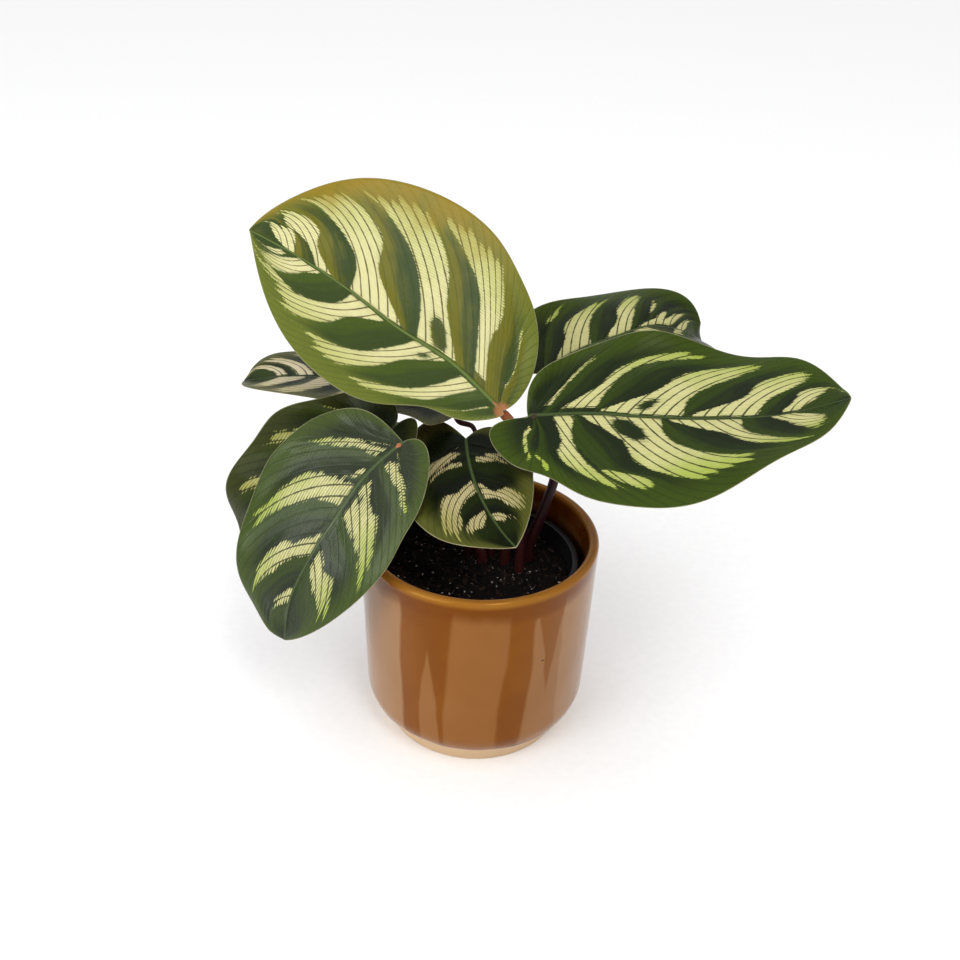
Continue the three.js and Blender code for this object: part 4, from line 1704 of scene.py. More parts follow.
@dataclass(frozen=True)
class PlasticFinish(MottledFinish):
    """Thin black moulded plastic with fine scuffs."""

    black: Colour = srgb(22, 22, 23)
    scuff: Colour = srgb(70, 68, 66)

    def paint(self, tree: Tree) -> None:
        """Lays scuffs over the black, a little more of them on the lip.

        Args:
            tree: The material's tree.
        """
        coarse, fine, _ = self.mottled(tree, 6.0, 8.2)
        _, _, z = tree.split(tree.place())
        dust = tree.times(tree.rise(fine, 0.5, 0.72), tree.rise(z, 0.0615, 0.064, 0.1, 0.15))
        colour = tree.mix(dust, self.black, self.scuff)
        roughness = tree.rise(coarse, 0.3, 0.7, 0.34, 0.5)
        surface(tree, Shine(specular=0.25), colour, roughness, tree.bump(fine, 0.3, 0.1))


SOIL_WAVES = ((0.31, 0.27, 0.6, 1.0), (0.33, 0.52, 2.0, 0.6), (0.71, -0.5, 1.57, 0.4))
WHOLE_TURN = 6.28


@dataclass
class Soil:
    """The root ball, with a lumpy top that carries the crumbs, bark, perlite and fibres."""

    pot: NurseryPot
    level: float = SOIL_LEVEL
    relief: float = 0.9
    wall_dip: float = 0.8
    edge_drop: float = 1.0
    slack: float = 0.1
    rings: int = 60
    sides: int = 144

    CLODS = 40
    CLOD_PITCH = 1.5
    CLOD_HEIGHT = 0.05
    SEED = 7
    SIDE_FROM = 4.0
    SIDE_RINGS = 8

    def radius(self, height: float) -> float:
        """Works out how far the soil reaches.

        Args:
            height: The height.

        Returns:
            The soil's radius there.
        """
        pot = self.pot
        share = (height - pot.bottom) / (pot.shoulder - pot.bottom)
        outside = pot.base_radius + (pot.body_radius - pot.base_radius) * share
        return outside - pot.wall - CLEARANCE - self.slack

    def height(self, x: np.ndarray, y: np.ndarray, reach: np.ndarray) -> np.ndarray:
        """Works out the surface, with fine clods on the CAD solid's lumps.

        Args:
            x: Places from the middle to the right.
            y: Places from the middle to the back.
            reach: Shares of the way from the middle to the wall.

        Returns:
            Heights.
        """
        lumps = sum(weight * np.sin(a * x + b * y + start) for a, b, start, weight in SOIL_WAVES)
        rng = np.random.default_rng(self.SEED)
        clods = np.zeros_like(x)
        for _ in range(self.CLODS):
            a, b = rng.normal(0, self.CLOD_PITCH, 2)
            clods += np.sin(a * x + b * y + rng.uniform(0, WHOLE_TURN)) * self.CLOD_HEIGHT
        return self.level + self.relief * lumps * (1 - reach**4) - self.wall_dip * reach**3 + clods

    def build(self) -> Piece:
        """Makes the closed root ball.

        Returns:
            The root ball, whose first faces are its top.
        """
        low = self.pot.bottom + self.pot.wall + CLEARANCE
        top = self.radius(self.level - self.edge_drop)
        reach = np.linspace(0, 1, self.rings + 1)[1:, None]
        angle = np.arange(self.sides)[None, :] * 2 * np.pi / self.sides
        x, y = top * reach * np.cos(angle), top * reach * np.sin(angle)
        z = self.height(x, y, reach)
        rings = [np.stack([x, y, z], -1).reshape(-1, 3)]
        for height in np.linspace(self.level - self.SIDE_FROM, low, self.SIDE_RINGS):
            radius = self.radius(height)
            across, back = radius * np.cos(angle[0]), radius * np.sin(angle[0])
            rings.append(np.stack([across, back, np.full(self.sides, height)], -1))
        middle = self.height(np.zeros(1), np.zeros(1), np.zeros(1))[0]
        points = np.concatenate([*rings, [[0, 0, middle], [0, 0, low]]])
        faces = tube_faces(self.rings + self.SIDE_RINGS, self.sides)
        return new_piece("soil_ball", points, [(face[0], *face[:0:-1]) for face in faces])


class Stone(NamedTuple):
    """How much of a kind of grit lies on the soil, and the shape of its stones."""

    count: float  # stones a square centimetre
    smallest: float
    largest: float
    height: float
    breadth: float


class Grit(Enum):
    """What lies on the soil."""

    CRUMB = Stone(260, 0.35, 1.15, 0.8, 1.0)
    BARK = Stone(16, 1.3, 3.0, 0.35, 0.5)
    PERLITE = Stone(4.5, 0.4, 1.1, 0.8, 1.0)
    FIBRE = Stone(3.0, 2.0, 5.5, 0.06, 0.07)


@dataclass
class GritLayer:
    """A layer of one kind of grit, scattered over the soil by a geometry node tree."""

    kind: Grit
    seed: int
    above: float

    LUMPS = (0.72, 0.5)  # least size of a corner, and what chance adds
    TILT = 0.6
    PER_SQUARE_METRE = 1e4

    @property
    def label(self) -> str:
        """The kind's name in small letters."""
        return self.kind.name.lower()

    def stone(self) -> Piece:
        """Makes a small lumpy stone of unit size.

        Returns:
            The stone, which is not linked to the scene.
        """
        name = "stone_" + self.label
        rng = np.random.default_rng(len(name))
        mesh = bpy.data.meshes.new(name)
        shape = bmesh.new()
        bmesh.ops.create_icosphere(shape, subdivisions=1, radius=0.5)
        for vertex in shape.verts:
            vertex.co *= self.LUMPS[0] + self.LUMPS[1] * rng.random()
            vertex.co.z *= self.kind.value.height
            vertex.co.y *= self.kind.value.breadth
        shape.to_mesh(mesh)
        shape.free()
        return bpy.data.objects.new(name, mesh)

    def tree(self, stone: Piece, material: Material) -> NodeTree:
        """Builds the scatter tree.

        Args:
            stone: The stone that is repeated.
            material: The stones' material.

        Returns:
            The tree, with inputs for density, sizes and seed.
        """
        data = bpy.data.node_groups.new("scatter_" + self.label, "GeometryNodeTree")
        sockets = data.interface
        sockets.new_socket("Geometry", in_out="INPUT", socket_type="NodeSocketGeometry")
        for name, value in (("Density", 1.0), ("Smallest", 0.5 * MM), ("Largest", MM), ("Above", 0.05)):
            sockets.new_socket(name, in_out="INPUT", socket_type="NodeSocketFloat").default_value = value
        sockets.new_socket("Seed", in_out="INPUT", socket_type="NodeSocketInt")
        sockets.new_socket("Geometry", in_out="OUTPUT", socket_type="NodeSocketGeometry")
        tree = Tree(data)
        given = tree.node("NodeGroupInput").outputs
        seed = given["Seed"]
        _, _, z = tree.split(tree.node("GeometryNodeInputPosition").outputs[0])
        chosen = tree.node("FunctionNodeCompare", {0: z, 1: given["Above"]}, operation="GREATER_THAN")
        spread = {
            "Mesh": given["Geometry"],
            "Selection": chosen.outputs[0],
            "Density": given["Density"],
            "Seed": seed,
        }
        points = tree.node("GeometryNodeDistributePointsOnFaces", spread, distribute_method="RANDOM")
        sizes = {2: given["Smallest"], 3: given["Largest"], "Seed": seed}
        size = tree.node("FunctionNodeRandomValue", sizes, data_type="FLOAT")
        turns = {0: (-self.TILT, -self.TILT, 0.0), 1: (self.TILT, self.TILT, WHOLE_TURN)}
        turn = tree.node("FunctionNodeRandomValue", turns, data_type="FLOAT_VECTOR")
        source = tree.node("GeometryNodeObjectInfo", {"Object": stone}, transform_space="ORIGINAL")
        placing = {
            "Points": points.outputs["Points"],
            "Instance": source.outputs["Geometry"],
            "Rotation": turn.outputs[0],
            "Scale": size.outputs[1],
        }
        placed = tree.node("GeometryNodeInstanceOnPoints", placing)
        real = tree.node("GeometryNodeRealizeInstances", {0: placed.outputs[0]})
        dressing = {"Geometry": real.outputs[0], "Material": material}
        dressed = tree.node("GeometryNodeSetMaterial", dressing)
        tree.node("NodeGroupOutput", {0: dressed.outputs[0]})
        return data

    def build(self, soil: Piece, material: Material) -> Piece:
        """Scatters the stones over the soil and makes them one plain mesh.

        Args:
            soil: The soil, whose top face carries them.
            material: The stones' material.

        Returns:
            The layer.
        """
        stone = self.stone()
        tree = self.tree(stone, material)
        layer = add_object("soil_" + self.label, soil.data.copy())
        scatter = layer.modifiers.new("scatter", "NODES")
        scatter.node_group = tree
        wanted = {
            "Density": self.kind.value.count * self.PER_SQUARE_METRE,
            "Smallest": self.kind.value.smallest * MM,
            "Largest": self.kind.value.largest * MM,
            "Above": self.above * MM,
            "Seed": self.seed,
        }
        for item in tree.interface.items_tree:
            if item.in_out == "INPUT" and item.name in wanted:
                scatter[item.identifier] = wanted[item.name]
        apply_modifiers(layer)
        bpy.data.objects.remove(stone)
        return layer


@dataclass(frozen=True)
class EarthFinish(MottledFinish):
    """A dark or pale grain of soil."""

    dark: Colour
    light: Colour
    roughness: float = 0.9
    size: float = 2.5

    def paint(self, tree: Tree) -> None:
        """Mottles the dark colour with the light one.

        Args:
            tree: The material's tree.
        """
        _, fine, mixed = self.mottled(tree, self.size, 11.0)
        colour = tree.mix(tree.rise(mixed, 0.35, 0.65), self.dark, self.light)
        surface(tree, Shine(specular=0.15), colour, self.roughness, tree.bump(fine, 0.6, 0.25))


# ---------------------------------------------------------------- studio


@dataclass
class Lamp:
    """A rectangular soft light that points at a place."""

    name: str
    place: Point
    size: tuple[float, float]
    power: float
    colour: Colour = (1.0, 1.0, 1.0)
    target: Point = (0.0, 0.0, 0.09)

    def build(self) -> None:
        """Adds the light to the scene."""
        data = bpy.data.lights.new(self.name, "AREA")
        data.shape = "RECTANGLE"
        data.size, data.size_y = self.size
        data.energy = self.power
        data.color = self.colour
        lamp = add_object(self.name, data)
        lamp.location = self.place
        lamp.rotation_euler = (Vector(self.target) - Vector(self.place)).to_track_quat("-Z", "Y").to_euler()


@dataclass(frozen=True)
class PaperFinish(Finish):
    """The pale paper of the studio's floor."""

    paper: Colour = (0.86, 0.86, 0.86)
    fibre: Colour = (0.88, 0.88, 0.88)

    def paint(self, tree: Tree) -> None:
        """Mixes the two pale colours by a fine grain."""
        grain = tree.rise(tree.noise(tree.place(), 300.0), 0.3, 0.7)
        surface(tree, Shine(specular=0.2), tree.mix(grain, self.paper, self.fibre), 0.9)


@dataclass
class Studio:
    """A pale floor, soft lights and the camera at the photograph's viewing angle."""

    camera_place: Point = (0.0, -0.3069, 0.2789)
    forward: Point = (-0.0017, 0.8564, -0.5163)
    roll: float = 2.10
    lens: float = 41.25
    sensor: float = 36.0
    floor_size: float = 40.0
    world_light: float = 0.6
    sky_light: float = 1.48
    sky_spread: float = 100.0
    sky_from: Point = (-0.25, -0.1, 1.0)
    lamps: tuple[Lamp, ...] = (
        Lamp("window", (-0.62, -0.68, 0.55), (0.6, 0.5), 3.6, (0.94, 0.97, 1.0)),
        Lamp("fill", (0.85, -0.5, 0.5), (0.25, 0.8), 0.7, (0.97, 0.98, 1.0)),
        Lamp("glint", (0.32, -0.76, 1.05), (0.35, 0.45), 4.0),
        Lamp("low_window", (-0.86, -0.7, 0.34), (0.5, 0.32), 1.4, (0.92, 0.97, 1.0)),
    )

    def build(self) -> None:
        """Adds the floor, world, lights and camera."""
        self.floor()
        self.world()
        self.sky()
        for lamp in self.lamps:
            lamp.build()
        self.camera()
        bpy.context.scene.view_settings.view_transform = "Standard"

    def floor(self) -> None:
        """A large pale plane under the pot."""
        half = self.floor_size / 2 / MM
        corners = np.array([[-half, -half, 0], [half, -half, 0], [half, half, 0], [-half, half, 0]])
        floor = new_piece("studio_floor", corners, [(0, 1, 2, 3)])
        floor.data.materials.append(PaperFinish().dress("floor_paper"))

    def world(self) -> None:
        """An even pale surrounding."""
        world = bpy.data.worlds.new("pale_room")
        world.use_nodes = True
        tree = Tree(world.node_tree)
        given = {"Color": (1.0, 1.0, 1.0), "Strength": self.world_light}
        background = tree.node("ShaderNodeBackground", given)
        tree.node("ShaderNodeOutputWorld", {"Surface": background.outputs[0]})
        bpy.context.scene.world = world

    def sky(self) -> None:
        """A very wide light from above, as even over the far floor as over the near one."""
        data = bpy.data.lights.new("sky", "SUN")
        data.energy = self.sky_light
        data.angle = math.radians(self.sky_spread)
        lamp = add_object("sky", data)
        lamp.rotation_euler = Vector(self.sky_from).to_track_quat("Z", "Y").to_euler()

    def camera(self) -> None:
        """The camera, from its place, direction and roll."""
        forward = Vector(self.forward).normalized()
        level = forward.cross(Vector((0, 0, 1))).normalized()
        upright = level.cross(forward)
        turn = math.radians(self.roll)
        right = level * math.cos(turn) + upright * math.sin(turn)
        up = upright * math.cos(turn) - level * math.sin(turn)
        data = bpy.data.cameras.new("photo_camera")
        data.lens = self.lens
        data.sensor_width = self.sensor
        data.clip_start = 0.01
        camera = add_object("photo_camera", data)
        axes = Matrix((right, up, -forward)).transposed()
        camera.matrix_world = Matrix.Translation(self.camera_place) @ axes.to_4x4()
        bpy.context.scene.camera = camera


# ---------------------------------------------------------------- the seven leaves


# Leaf 1's finish: its olive right half and the warm tint near its edge are painted backlight shining
# through the blade.
BACKLIT_OLIVE = BladeFinish(
    cream=srgb(204, 198, 146), lime=srgb(170, 172, 98), deep=srgb(40, 54, 12), mid=srgb(92, 88, 10),
    mid_left=srgb(52, 68, 6), margin=srgb(88, 96, 26), vein=srgb(74, 64, 32),
    midrib=srgb(92, 108, 50), vein_gap=0.0185, cross_gap=0.8, hatch=0.5, fray=0.2, gloss=0.2,
    lean=-1.0, joint_reach=3.4, backlit_glow=srgb(134, 108, 20), backlit_glow_strength=0.8,
)


def green(
    vein_gap: float,
    hatch: float,
    fray: float,
    cross_gap: float = 0.65,
    gloss: float = 0.1,
    shade: float = 1.0,
) -> BladeFinish:
    """The finish of a grown leaf.

    Args:
        vein_gap: Space between two fine side veins, as veins are numbered.
        hatch: Strength of the cross veins.
        fray: How far a flame's border frays.
        cross_gap: Millimetres between two cross veins.
        gloss: Strength of the gloss.
        shade: What the dark colours are multiplied by, which paints shade on a leaf that lies in shadow.

    Returns:
        The finish.
    """
    deep, mid = (tuple(shade * part for part in colour) for colour in (srgb(18, 27, 10), srgb(38, 52, 9)))
    return BladeFinish(
        cream=srgb(186, 180, 128), lime=srgb(142, 158, 58), deep=deep, mid=mid, mid_left=mid,
        margin=srgb(48, 62, 8), vein=srgb(44, 46, 18), midrib=srgb(62, 76, 40), vein_gap=vein_gap,
        cross_gap=cross_gap, hatch=hatch, fray=fray, gloss=gloss,
    )


LEAF_1 = Leaf(
    name="leaf_1", base=(5.5, 3, 118), length=109, heading=152, pitch=28, roll=-43, droop=14,
    tip_droop=-1, sickle=7, twist=-7, fold=6, cup=0.16,
    left=Half(
        28, 2.1, 2.35, 2.5, 4.7, 0.29,
        flames=(
            Flame((0.287, 0.275, 0.248, 0.237), (0.292, 0.285, 0.258, 0.244), 0.15, 0.7),
            Flame((0.38, 0.376, 0.356, 0.385), (0.428, 0.414, 0.402, 0.42), 0.04, 0.8),
            Flame((0.47, 0.49, 0.47, 0.455), (0.535, 0.527, 0.515, 0.545), 0.03, 0.82),
            Flame((0.59, 0.612, 0.585, 0.57), (0.665, 0.648, 0.648, 0.66), 0.03, 0.81),
            Flame((0.645, 0.655, 0.665, 0.67), (0.66, 0.69, 0.70, 0.69), 0.63, 0.8),
            Flame((0.73, 0.738, 0.715, 0.705), (0.787, 0.79, 0.78, 0.735), 0.05, 0.76),
            Flame((0.808, 0.805, 0.80, 0.795), (0.828, 0.83, 0.825, 0.815), 0.12, 0.58),
        ),
        spots=(Spot(0.494, 0.12, 0.008, 0.05),),
    ),
    right=Half(
        42, 1.26, 1.53, 3.4, 1.3, 0.3, (0.6, 3.2, 0.16),
        flames=(
            Flame((0.13, 0.127, 0.142, 0.2), (0.137, 0.134, 0.15, 0.215), 0.34, 0.74),
            Flame((0.362, 0.352, 0.306, 0.31), (0.402, 0.392, 0.386, 0.43), 0.08, 0.87),
            Flame((0.455, 0.471, 0.451, 0.455), (0.535, 0.523, 0.522, 0.55), 0.02, 0.88),
            Flame((0.565, 0.604, 0.572, 0.585), (0.672, 0.65, 0.662, 0.66), 0.01, 0.87),
            Flame((0.712, 0.735, 0.712, 0.725), (0.745, 0.758, 0.785, 0.75), 0.01, 0.7),
            Flame((0.80, 0.793, 0.785, 0.80), (0.822, 0.85, 0.85, 0.835), 0.01, 0.48),
        ),
        spots=(Spot(0.492, 0.115, 0.017, 0.11),),
    ),
    crown=(9, 5), elbows=((11.5, 7.5, 92), (10.5, 8.8, 105)), approach=(5, 4), finish=BACKLIT_OLIVE,
    slot="blade_olive", joint_tint=1.0, sway=(0, -1.9, -0.3, -1.1, -1.1, 0), pleat=0.09,
)

LEAF_2 = Leaf(
    name="leaf_2", base=(13.5, -5, 120), length=95.5, heading=-12.6, pitch=5.3, roll=41,
    droop=-8.7, tip_droop=0, sickle=10.3, twist=-35.8, fold=4.6, cup=0,
    left=Half(
        30.3, 1.02, 1.18, 1.9, -1, 0.27, (3.7, 2.8, 0.04),
        flames=(
            Flame((0.345, 0.325, 0.312, 0.318), (0.358, 0.342, 0.333, 0.328), 0.12, 0.72),
            Flame((0.40, 0.43, 0.423, 0.455), (0.475, 0.455, 0.448, 0.497), 0.07, 0.82),
            Flame((0.485, 0.54, 0.535, 0.575), (0.63, 0.608, 0.612, 0.60), 0.03, 0.87),
            Flame((0.64, 0.697, 0.675, 0.685), (0.757, 0.747, 0.745, 0.705), 0.03, 0.82),
            Flame((0.80, 0.802, 0.783, 0.79), (0.835, 0.845, 0.835, 0.80), 0.06, 0.66),
        ),
        spots=(Spot(0.555, 0.14, 0.014, 0.07),),
    ),
    right=Half(
        33.5, 1.54, 1.58, 13.6, 4.4, 0.28, (2.0, 3.3, 0),
        flames=(
            Flame((0.125, 0.13, 0.16, 0.195), (0.145, 0.15, 0.18, 0.215), 0.4, 0.8),
            Flame((0.215, 0.22, 0.235, 0.24), (0.225, 0.24, 0.25, 0.255), 0.73, 0.83),
            Flame((0.39, 0.37, 0.322, 0.378), (0.437, 0.396, 0.383, 0.392), 0.02, 0.8),
            Flame((0.395, 0.398, 0.405, 0.42), (0.41, 0.445, 0.447, 0.43), 0.6, 0.8),
            Flame((0.45, 0.49, 0.472, 0.505), (0.595, 0.57, 0.585, 0.605), 0.02, 0.79),
            Flame((0.605, 0.66, 0.655, 0.65), (0.73, 0.70, 0.69, 0.67), 0.03, 0.74),
            Flame((0.782, 0.782, 0.756, 0.712), (0.825, 0.838, 0.812, 0.735), 0.0, 0.76),
        ),
        spots=(Spot(0.52, 0.16, 0.025, 0.12),),
    ),
    crown=(14, 1.5), elbows=((15.5, 2.5, 95),), approach=(2, 6),
    finish=green(0.0215, 0.35, 0.3),
    slot="blade_green", sway=(1, 2.4, 0.8, -1.2, -2.9, 0), pleat=0.11,
)

LEAF_3 = Leaf(
    name="leaf_3", base=(17.2, 22, 122.2), length=79.5, heading=30, pitch=25, roll=9.6,
    droop=52, tip_droop=14.4, sickle=-3.6, twist=11.7, fold=17, cup=-0.1,
    left=Half(
        24, 0.94, 0.99, 6.5, -0.3, 0.35, (5.6, 1.46, 0.98),
        flames=(
            Flame((0.33, 0.33, 0.335, 0.34), (0.345, 0.352, 0.355, 0.35), 0.66, 0.8),
            Flame((0.395, 0.42, 0.405, 0.455), (0.50, 0.488, 0.478, 0.482), 0.01, 0.74),
            Flame((0.54, 0.565, 0.545, 0.54), (0.615, 0.615, 0.60, 0.575), 0.02, 0.74),
            Flame((0.668, 0.66, 0.648, 0.635), (0.675, 0.672, 0.66, 0.64), 0.3, 0.63),
            Flame((0.64, 0.695, 0.70, 0.71), (0.70, 0.725, 0.725, 0.72), 0.03, 0.42),
            Flame((0.70, 0.735, 0.745, 0.75), (0.755, 0.77, 0.775, 0.765), 0.06, 0.5),
            Flame((0.78, 0.79, 0.80, 0.805), (0.815, 0.825, 0.825, 0.815), 0.0, 0.4),
        ),
    ),
    right=Half(
        24.2, 0.85, 1.23, 8.5,
        flames=(
            Flame((0.26, 0.25, 0.24, 0.25), (0.29, 0.28, 0.27, 0.26), 0.1, 0.7),
            Flame((0.37, 0.36, 0.35, 0.37), (0.42, 0.41, 0.41, 0.40), 0.03, 0.76),
            Flame((0.49, 0.48, 0.47, 0.49), (0.55, 0.54, 0.535, 0.52), 0.03, 0.76),
            Flame((0.62, 0.61, 0.60, 0.61), (0.665, 0.66, 0.65, 0.64), 0.03, 0.6),
            Flame((0.77, 0.745, 0.70, 0.66), (0.80, 0.78, 0.735, 0.69), 0.02, 0.42),
        ),
    ),
    crown=(16.5, 7), elbows=((21.8, 9.5, 79), (24.6, 12.5, 92)), approach=(3, 6),
    finish=green(0.026, 0.3, 0.3),
    slot="blade_green", stalk_scale=1.3, sway=(0, 0, -0.5, 1.3, 0, 0),
)

LEAF_4 = Leaf(
    name="leaf_4", base=(-24.9, -8.9, 112), length=80, heading=212, pitch=-29, roll=-29,
    droop=47, tip_droop=6, sickle=24, twist=-1, fold=5, cup=-0.09,
    left=Half(
        24.7, 1.43, 1.82, 6.2, 1.2, 0.37,
        flames=(
            Flame((0.372, 0.325, 0.29, 0.305), (0.397, 0.366, 0.338, 0.322), 0.1, 0.72),
            Flame((0.452, 0.455, 0.43, 0.45), (0.55, 0.53, 0.504, 0.485), 0.1, 0.8),
            Flame((0.636, 0.634, 0.60, 0.597), (0.682, 0.688, 0.665, 0.63), 0.12, 0.77),
        ),
        spots=(Spot(0.488, 0.17, 0.012, 0.07),),
    ),
    right=Half(
        29.6, 0.81, 1.12, 0, 1.1, 0.36, (1.7, 3.3, 0.02),
        flames=(
            Flame((0.366, 0.345, 0.333, 0.335), (0.392, 0.366, 0.36, 0.347), 0.08, 0.68),
            Flame((0.452, 0.45, 0.455, 0.462), (0.462, 0.468, 0.47, 0.466), 0.04, 0.12),
            Flame((0.495, 0.468, 0.446, 0.48), (0.545, 0.522, 0.518, 0.51), 0.03, 0.82),
            Flame((0.612, 0.63, 0.615, 0.635), (0.667, 0.668, 0.68, 0.66), 0.01, 0.7),
            Flame((0.765, 0.766, 0.77, 0.78), (0.80, 0.803, 0.80, 0.79), 0.0, 0.38),
        ),
    ),
    crown=(1, 3), elbows=((-13, 3.5, 79), (-29.3, -1, 95)), approach=(1, 5),
    finish=green(0.029, 0.9, 0.75, 0.95, gloss=0.3),
    slot="blade_green", joint_tint=0.9, sway=(0, -0.3, 1, 0.5, -0.6, 0), pleat=0.17,
)

LEAF_5 = Leaf(
    name="leaf_5", base=(-28.9, 9.7, 107.8), length=85, heading=205, pitch=-37, roll=-36,
    droop=43, tip_droop=6.5, sickle=-2, twist=13, fold=7, cup=0.13,
    left=Half(
        22.5, 1.5, 1.5, 8, wave=(0.8, 2.7, 0.92),
        flames=(
            Flame((0.37, 0.36, 0.35, 0.37), (0.42, 0.41, 0.40, 0.40), 0.05, 0.78),
            Flame((0.50, 0.49, 0.48, 0.50), (0.56, 0.55, 0.54, 0.53), 0.03, 0.8),
            Flame((0.64, 0.63, 0.62, 0.63), (0.69, 0.685, 0.67, 0.65), 0.03, 0.72),
            Flame((0.78, 0.78, 0.77, 0.77), (0.82, 0.82, 0.80, 0.79), 0.03, 0.5),
        ),
    ),
    right=Half(
        31, 1.26, 1.34, 6, 1.6, 0.29, (2.2, 3.8, 0.89),
        flames=(
            Flame((0.27, 0.26, 0.25, 0.26), (0.30, 0.29, 0.28, 0.27), 0.1, 0.72),
            Flame((0.38, 0.385, 0.385, 0.39), (0.43, 0.43, 0.425, 0.42), 0.05, 0.84),
            Flame((0.50, 0.505, 0.51, 0.52), (0.56, 0.56, 0.555, 0.545), 0.05, 0.79),
            Flame((0.64, 0.63, 0.62, 0.63), (0.69, 0.685, 0.67, 0.65), 0.03, 0.66),
            Flame((0.78, 0.78, 0.77, 0.77), (0.82, 0.82, 0.80, 0.79), 0.03, 0.5),
        ),
    ),
    crown=(-3.5, 9), elbows=((-18, 16, 84),), approach=(2, 6),
    # The duller lime and the darker, browner margin are painted shade, for this leaf lies under leaf 1.
    finish=replace(green(0.026, 0.8, 0.7, 0.95), lime=srgb(146, 146, 74), margin=srgb(48, 52, 18)),
    slot="blade_green",
)

LEAF_6 = Leaf(
    name="leaf_6", base=(-9.7, 24, 108.8), length=82, heading=157, pitch=7, roll=-2, droop=21,
    tip_droop=3, sickle=12, twist=0, fold=8.6, cup=-0.08,
    left=Half(
        19.8, 0.88, 1.15, 5, -6, 0.16,
        flames=(
            Flame((0.36, 0.35, 0.34, 0.35), (0.42, 0.41, 0.39, 0.37), 0.1, 0.7),
            Flame((0.50, 0.48, 0.44, 0.42), (0.56, 0.54, 0.51, 0.46), 0.05, 0.8),
            Flame((0.64, 0.60, 0.56, 0.52), (0.69, 0.66, 0.62, 0.58), 0.05, 0.9),
            Flame((0.735, 0.71, 0.685, 0.65), (0.82, 0.80, 0.765, 0.71), 0.0, 0.84),
        ),
    ),
    right=Half(
        28.2, 0.93, 1.09, 4, wave=(2.7, 2.26, 0.29),
        flames=(
            Flame((0.25, 0.24, 0.23, 0.24), (0.29, 0.28, 0.27, 0.26), 0.1, 0.7),
            Flame((0.37, 0.36, 0.35, 0.36), (0.42, 0.41, 0.40, 0.39), 0.05, 0.75),
            Flame((0.50, 0.49, 0.48, 0.49), (0.56, 0.55, 0.54, 0.52), 0.05, 0.84),
            Flame((0.61, 0.60, 0.595, 0.60), (0.67, 0.665, 0.655, 0.64), 0.05, 0.86),
            Flame((0.71, 0.71, 0.705, 0.70), (0.755, 0.755, 0.755, 0.75), 0.05, 0.84),
            Flame((0.79, 0.789, 0.788, 0.787), (0.82, 0.822, 0.824, 0.82), 0.08, 0.66),
        ),
    ),
    crown=(4, 14), elbows=((-1.5, 20, 90), (-3.7, 21, 102)), approach=(3, 5),
    finish=replace(
        green(0.026, 0.4, 0.4),
        cream=srgb(214, 202, 168), lime=srgb(190, 180, 136), margin=srgb(84, 84, 50),
    ),
    slot="blade_green", stalk_scale=0.6,
)

LEAF_7 = Leaf(
    name="leaf_7", base=(-5.7, 6.6, 105.5), length=60.5, heading=274, pitch=-8, roll=12.6,
    droop=-4, tip_droop=-2, sickle=25, twist=5, fold=8, cup=-0.26,
    left=Half(
        18.7, 0.97, 1.54, 4.9,
        flames=(
            Flame((0.462, 0.452, 0.438, 0.43), (0.48, 0.474, 0.458, 0.442), 0.12, 0.52),
            Flame((0.43, 0.418, 0.405, 0.40), (0.438, 0.436, 0.43, 0.42), 0.32, 0.56),
            Flame((0.575, 0.602, 0.555, 0.54), (0.645, 0.634, 0.64, 0.61), 0.07, 0.8),
            Flame((0.722, 0.714, 0.709, 0.697), (0.742, 0.755, 0.738, 0.705), 0.02, 0.54),
        ),
    ),
    right=Half(
        23.9, 0.92, 1.61, 14.5, wave=(0.7, 2.8, 0.96),
        flames=(
            Flame((0.42, 0.385, 0.355, 0.36), (0.433, 0.43, 0.42, 0.41), 0.12, 0.66),
            Flame((0.472, 0.447, 0.435, 0.425), (0.486, 0.466, 0.447, 0.435), 0.1, 0.5),
            Flame((0.558, 0.556, 0.512, 0.535), (0.61, 0.602, 0.60, 0.585), 0.03, 0.81),
            Flame((0.59, 0.595, 0.595, 0.59), (0.61, 0.62, 0.615, 0.60), 0.5, 0.74),
            Flame((0.69, 0.67, 0.646, 0.632), (0.715, 0.724, 0.685, 0.645), 0.1, 0.74),
        ),
    ),
    crown=(4, 8), elbows=((0, 9, 84),), approach=(2, 6),
    # shade=0.35 darkens the dark colours as painted shade, for this leaf lies in the shadow of leaves 1 and
    # 4.
    finish=replace(
        green(0.026, 0.6, 0.4, 0.85, shade=0.35),
        cream=srgb(168, 156, 114), lime=srgb(140, 134, 76), margin=srgb(72, 74, 28), gloss=0.05,
    ),
    slot="blade_green", stalk_scale=0.85,
)

LEAVES = (LEAF_1, LEAF_2, LEAF_3, LEAF_4, LEAF_5, LEAF_6, LEAF_7)


# ---------------------------------------------------------------- putting it together


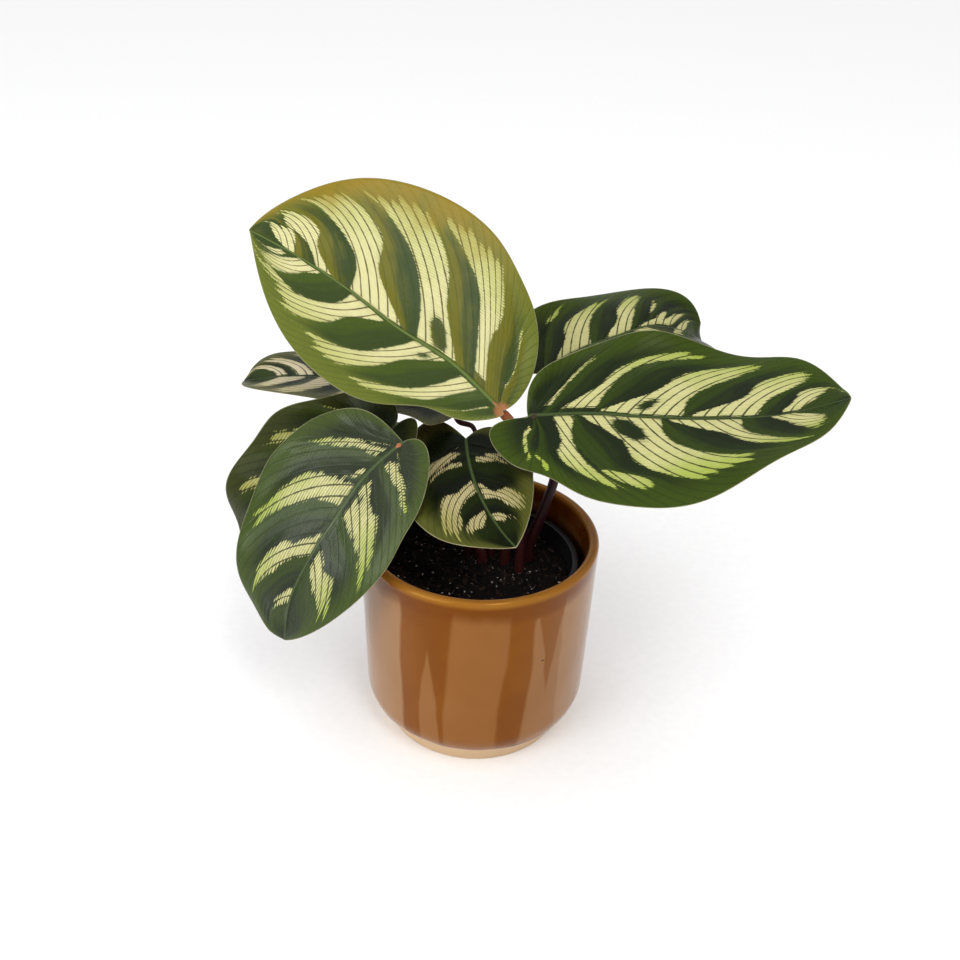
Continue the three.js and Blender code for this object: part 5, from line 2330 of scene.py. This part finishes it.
class Plant:
    """All leaves with their stalks."""

    def __init__(self, leaves: Sequence[Leaf], veins: NodeTree, mottle: NodeTree) -> None:
        """Keeps the leaves and makes the materials that they share.

        Args:
            leaves: The leaves.
            veins: The shared group of fine veins.
            mottle: The shared group of unevenness.
        """
        self.leaves = leaves
        self.veins = veins
        self.mottle = mottle
        self.underside = BladeUnderside(mottle, veins).dress("blade_underside")
        self.rim = BladeRim(mottle).dress("blade_rim")
        self.stalk = StalkFinish(mottle).dress("stalk_skin")

    def build(self) -> None:
        """Builds and dresses every leaf."""
        for leaf in self.leaves:
            top = BladeTop(self.mottle, self.veins, leaf.finish).dress(leaf.name + "_top")
            faces = (top, self.underside, self.rim)
            finish_piece(Blade(leaf).build(), faces, leaf.slot, leaf.name + "_blade")
            finish_piece(Stalk(leaf).build(), (self.stalk,), "stalk", leaf.name + "_stalk")


class Pots:
    """The glazed pot, the nursery pot and the soil with what lies on it."""

    GRIT_DEPTH = 2.4  # how far below the soil's level grit still lies
    FIRST_SEED = 3

    def __init__(self, mottle: NodeTree) -> None:
        """Keeps the shared group and the pots' sizes.

        Args:
            mottle: The shared group of unevenness.
        """
        self.mottle = mottle
        self.glazed = GlazedPot()
        self.nursery = NurseryPot()

    def build(self) -> None:
        """Builds and dresses the pots, the soil and its grit."""
        glaze = GlazeFinish(self.mottle, self.glazed).dress("amber_glaze")
        finish_piece(self.glazed.build(), (glaze,), "glazed_ceramic", "pot")
        plastic = PlasticFinish(self.mottle).dress("black_plastic")
        finish_piece(self.nursery.build(), (plastic,), "black_plastic", "nursery_pot")
        soil = Soil(self.nursery).build()
        earth = EarthFinish(self.mottle, srgb(5, 4, 3), srgb(14, 10, 8)).dress("earth")
        finish_piece(soil, (earth,), "soil", "soil")
        finishes = {
            Grit.CRUMB: EarthFinish(self.mottle, srgb(6, 5, 4), srgb(24, 18, 14)),
            Grit.BARK: EarthFinish(self.mottle, srgb(22, 14, 10), srgb(52, 36, 26), 0.8, 1.5),
            Grit.PERLITE: EarthFinish(self.mottle, srgb(120, 116, 110), srgb(190, 186, 180), 0.85, 1.5),
            Grit.FIBRE: EarthFinish(self.mottle, srgb(70, 60, 52), srgb(128, 116, 104), 0.85, 1.5),
        }
        for seed, (kind, finish) in enumerate(finishes.items(), self.FIRST_SEED):
            layer = GritLayer(kind, seed, SOIL_LEVEL - self.GRIT_DEPTH)
            finish_piece(layer.build(soil, finish.dress(layer.label)), (), "soil")


def main() -> None:
    """Builds the studio, the pots and the plant."""
    logging.basicConfig(level=logging.INFO, format="%(name)s %(message)s")
    veins = vein_group()
    mottle = mottle_group()
    Studio().build()
    Pots(mottle).build()
    Plant(LEAVES, veins, mottle).build()


if __name__ == "__main__":
    main()
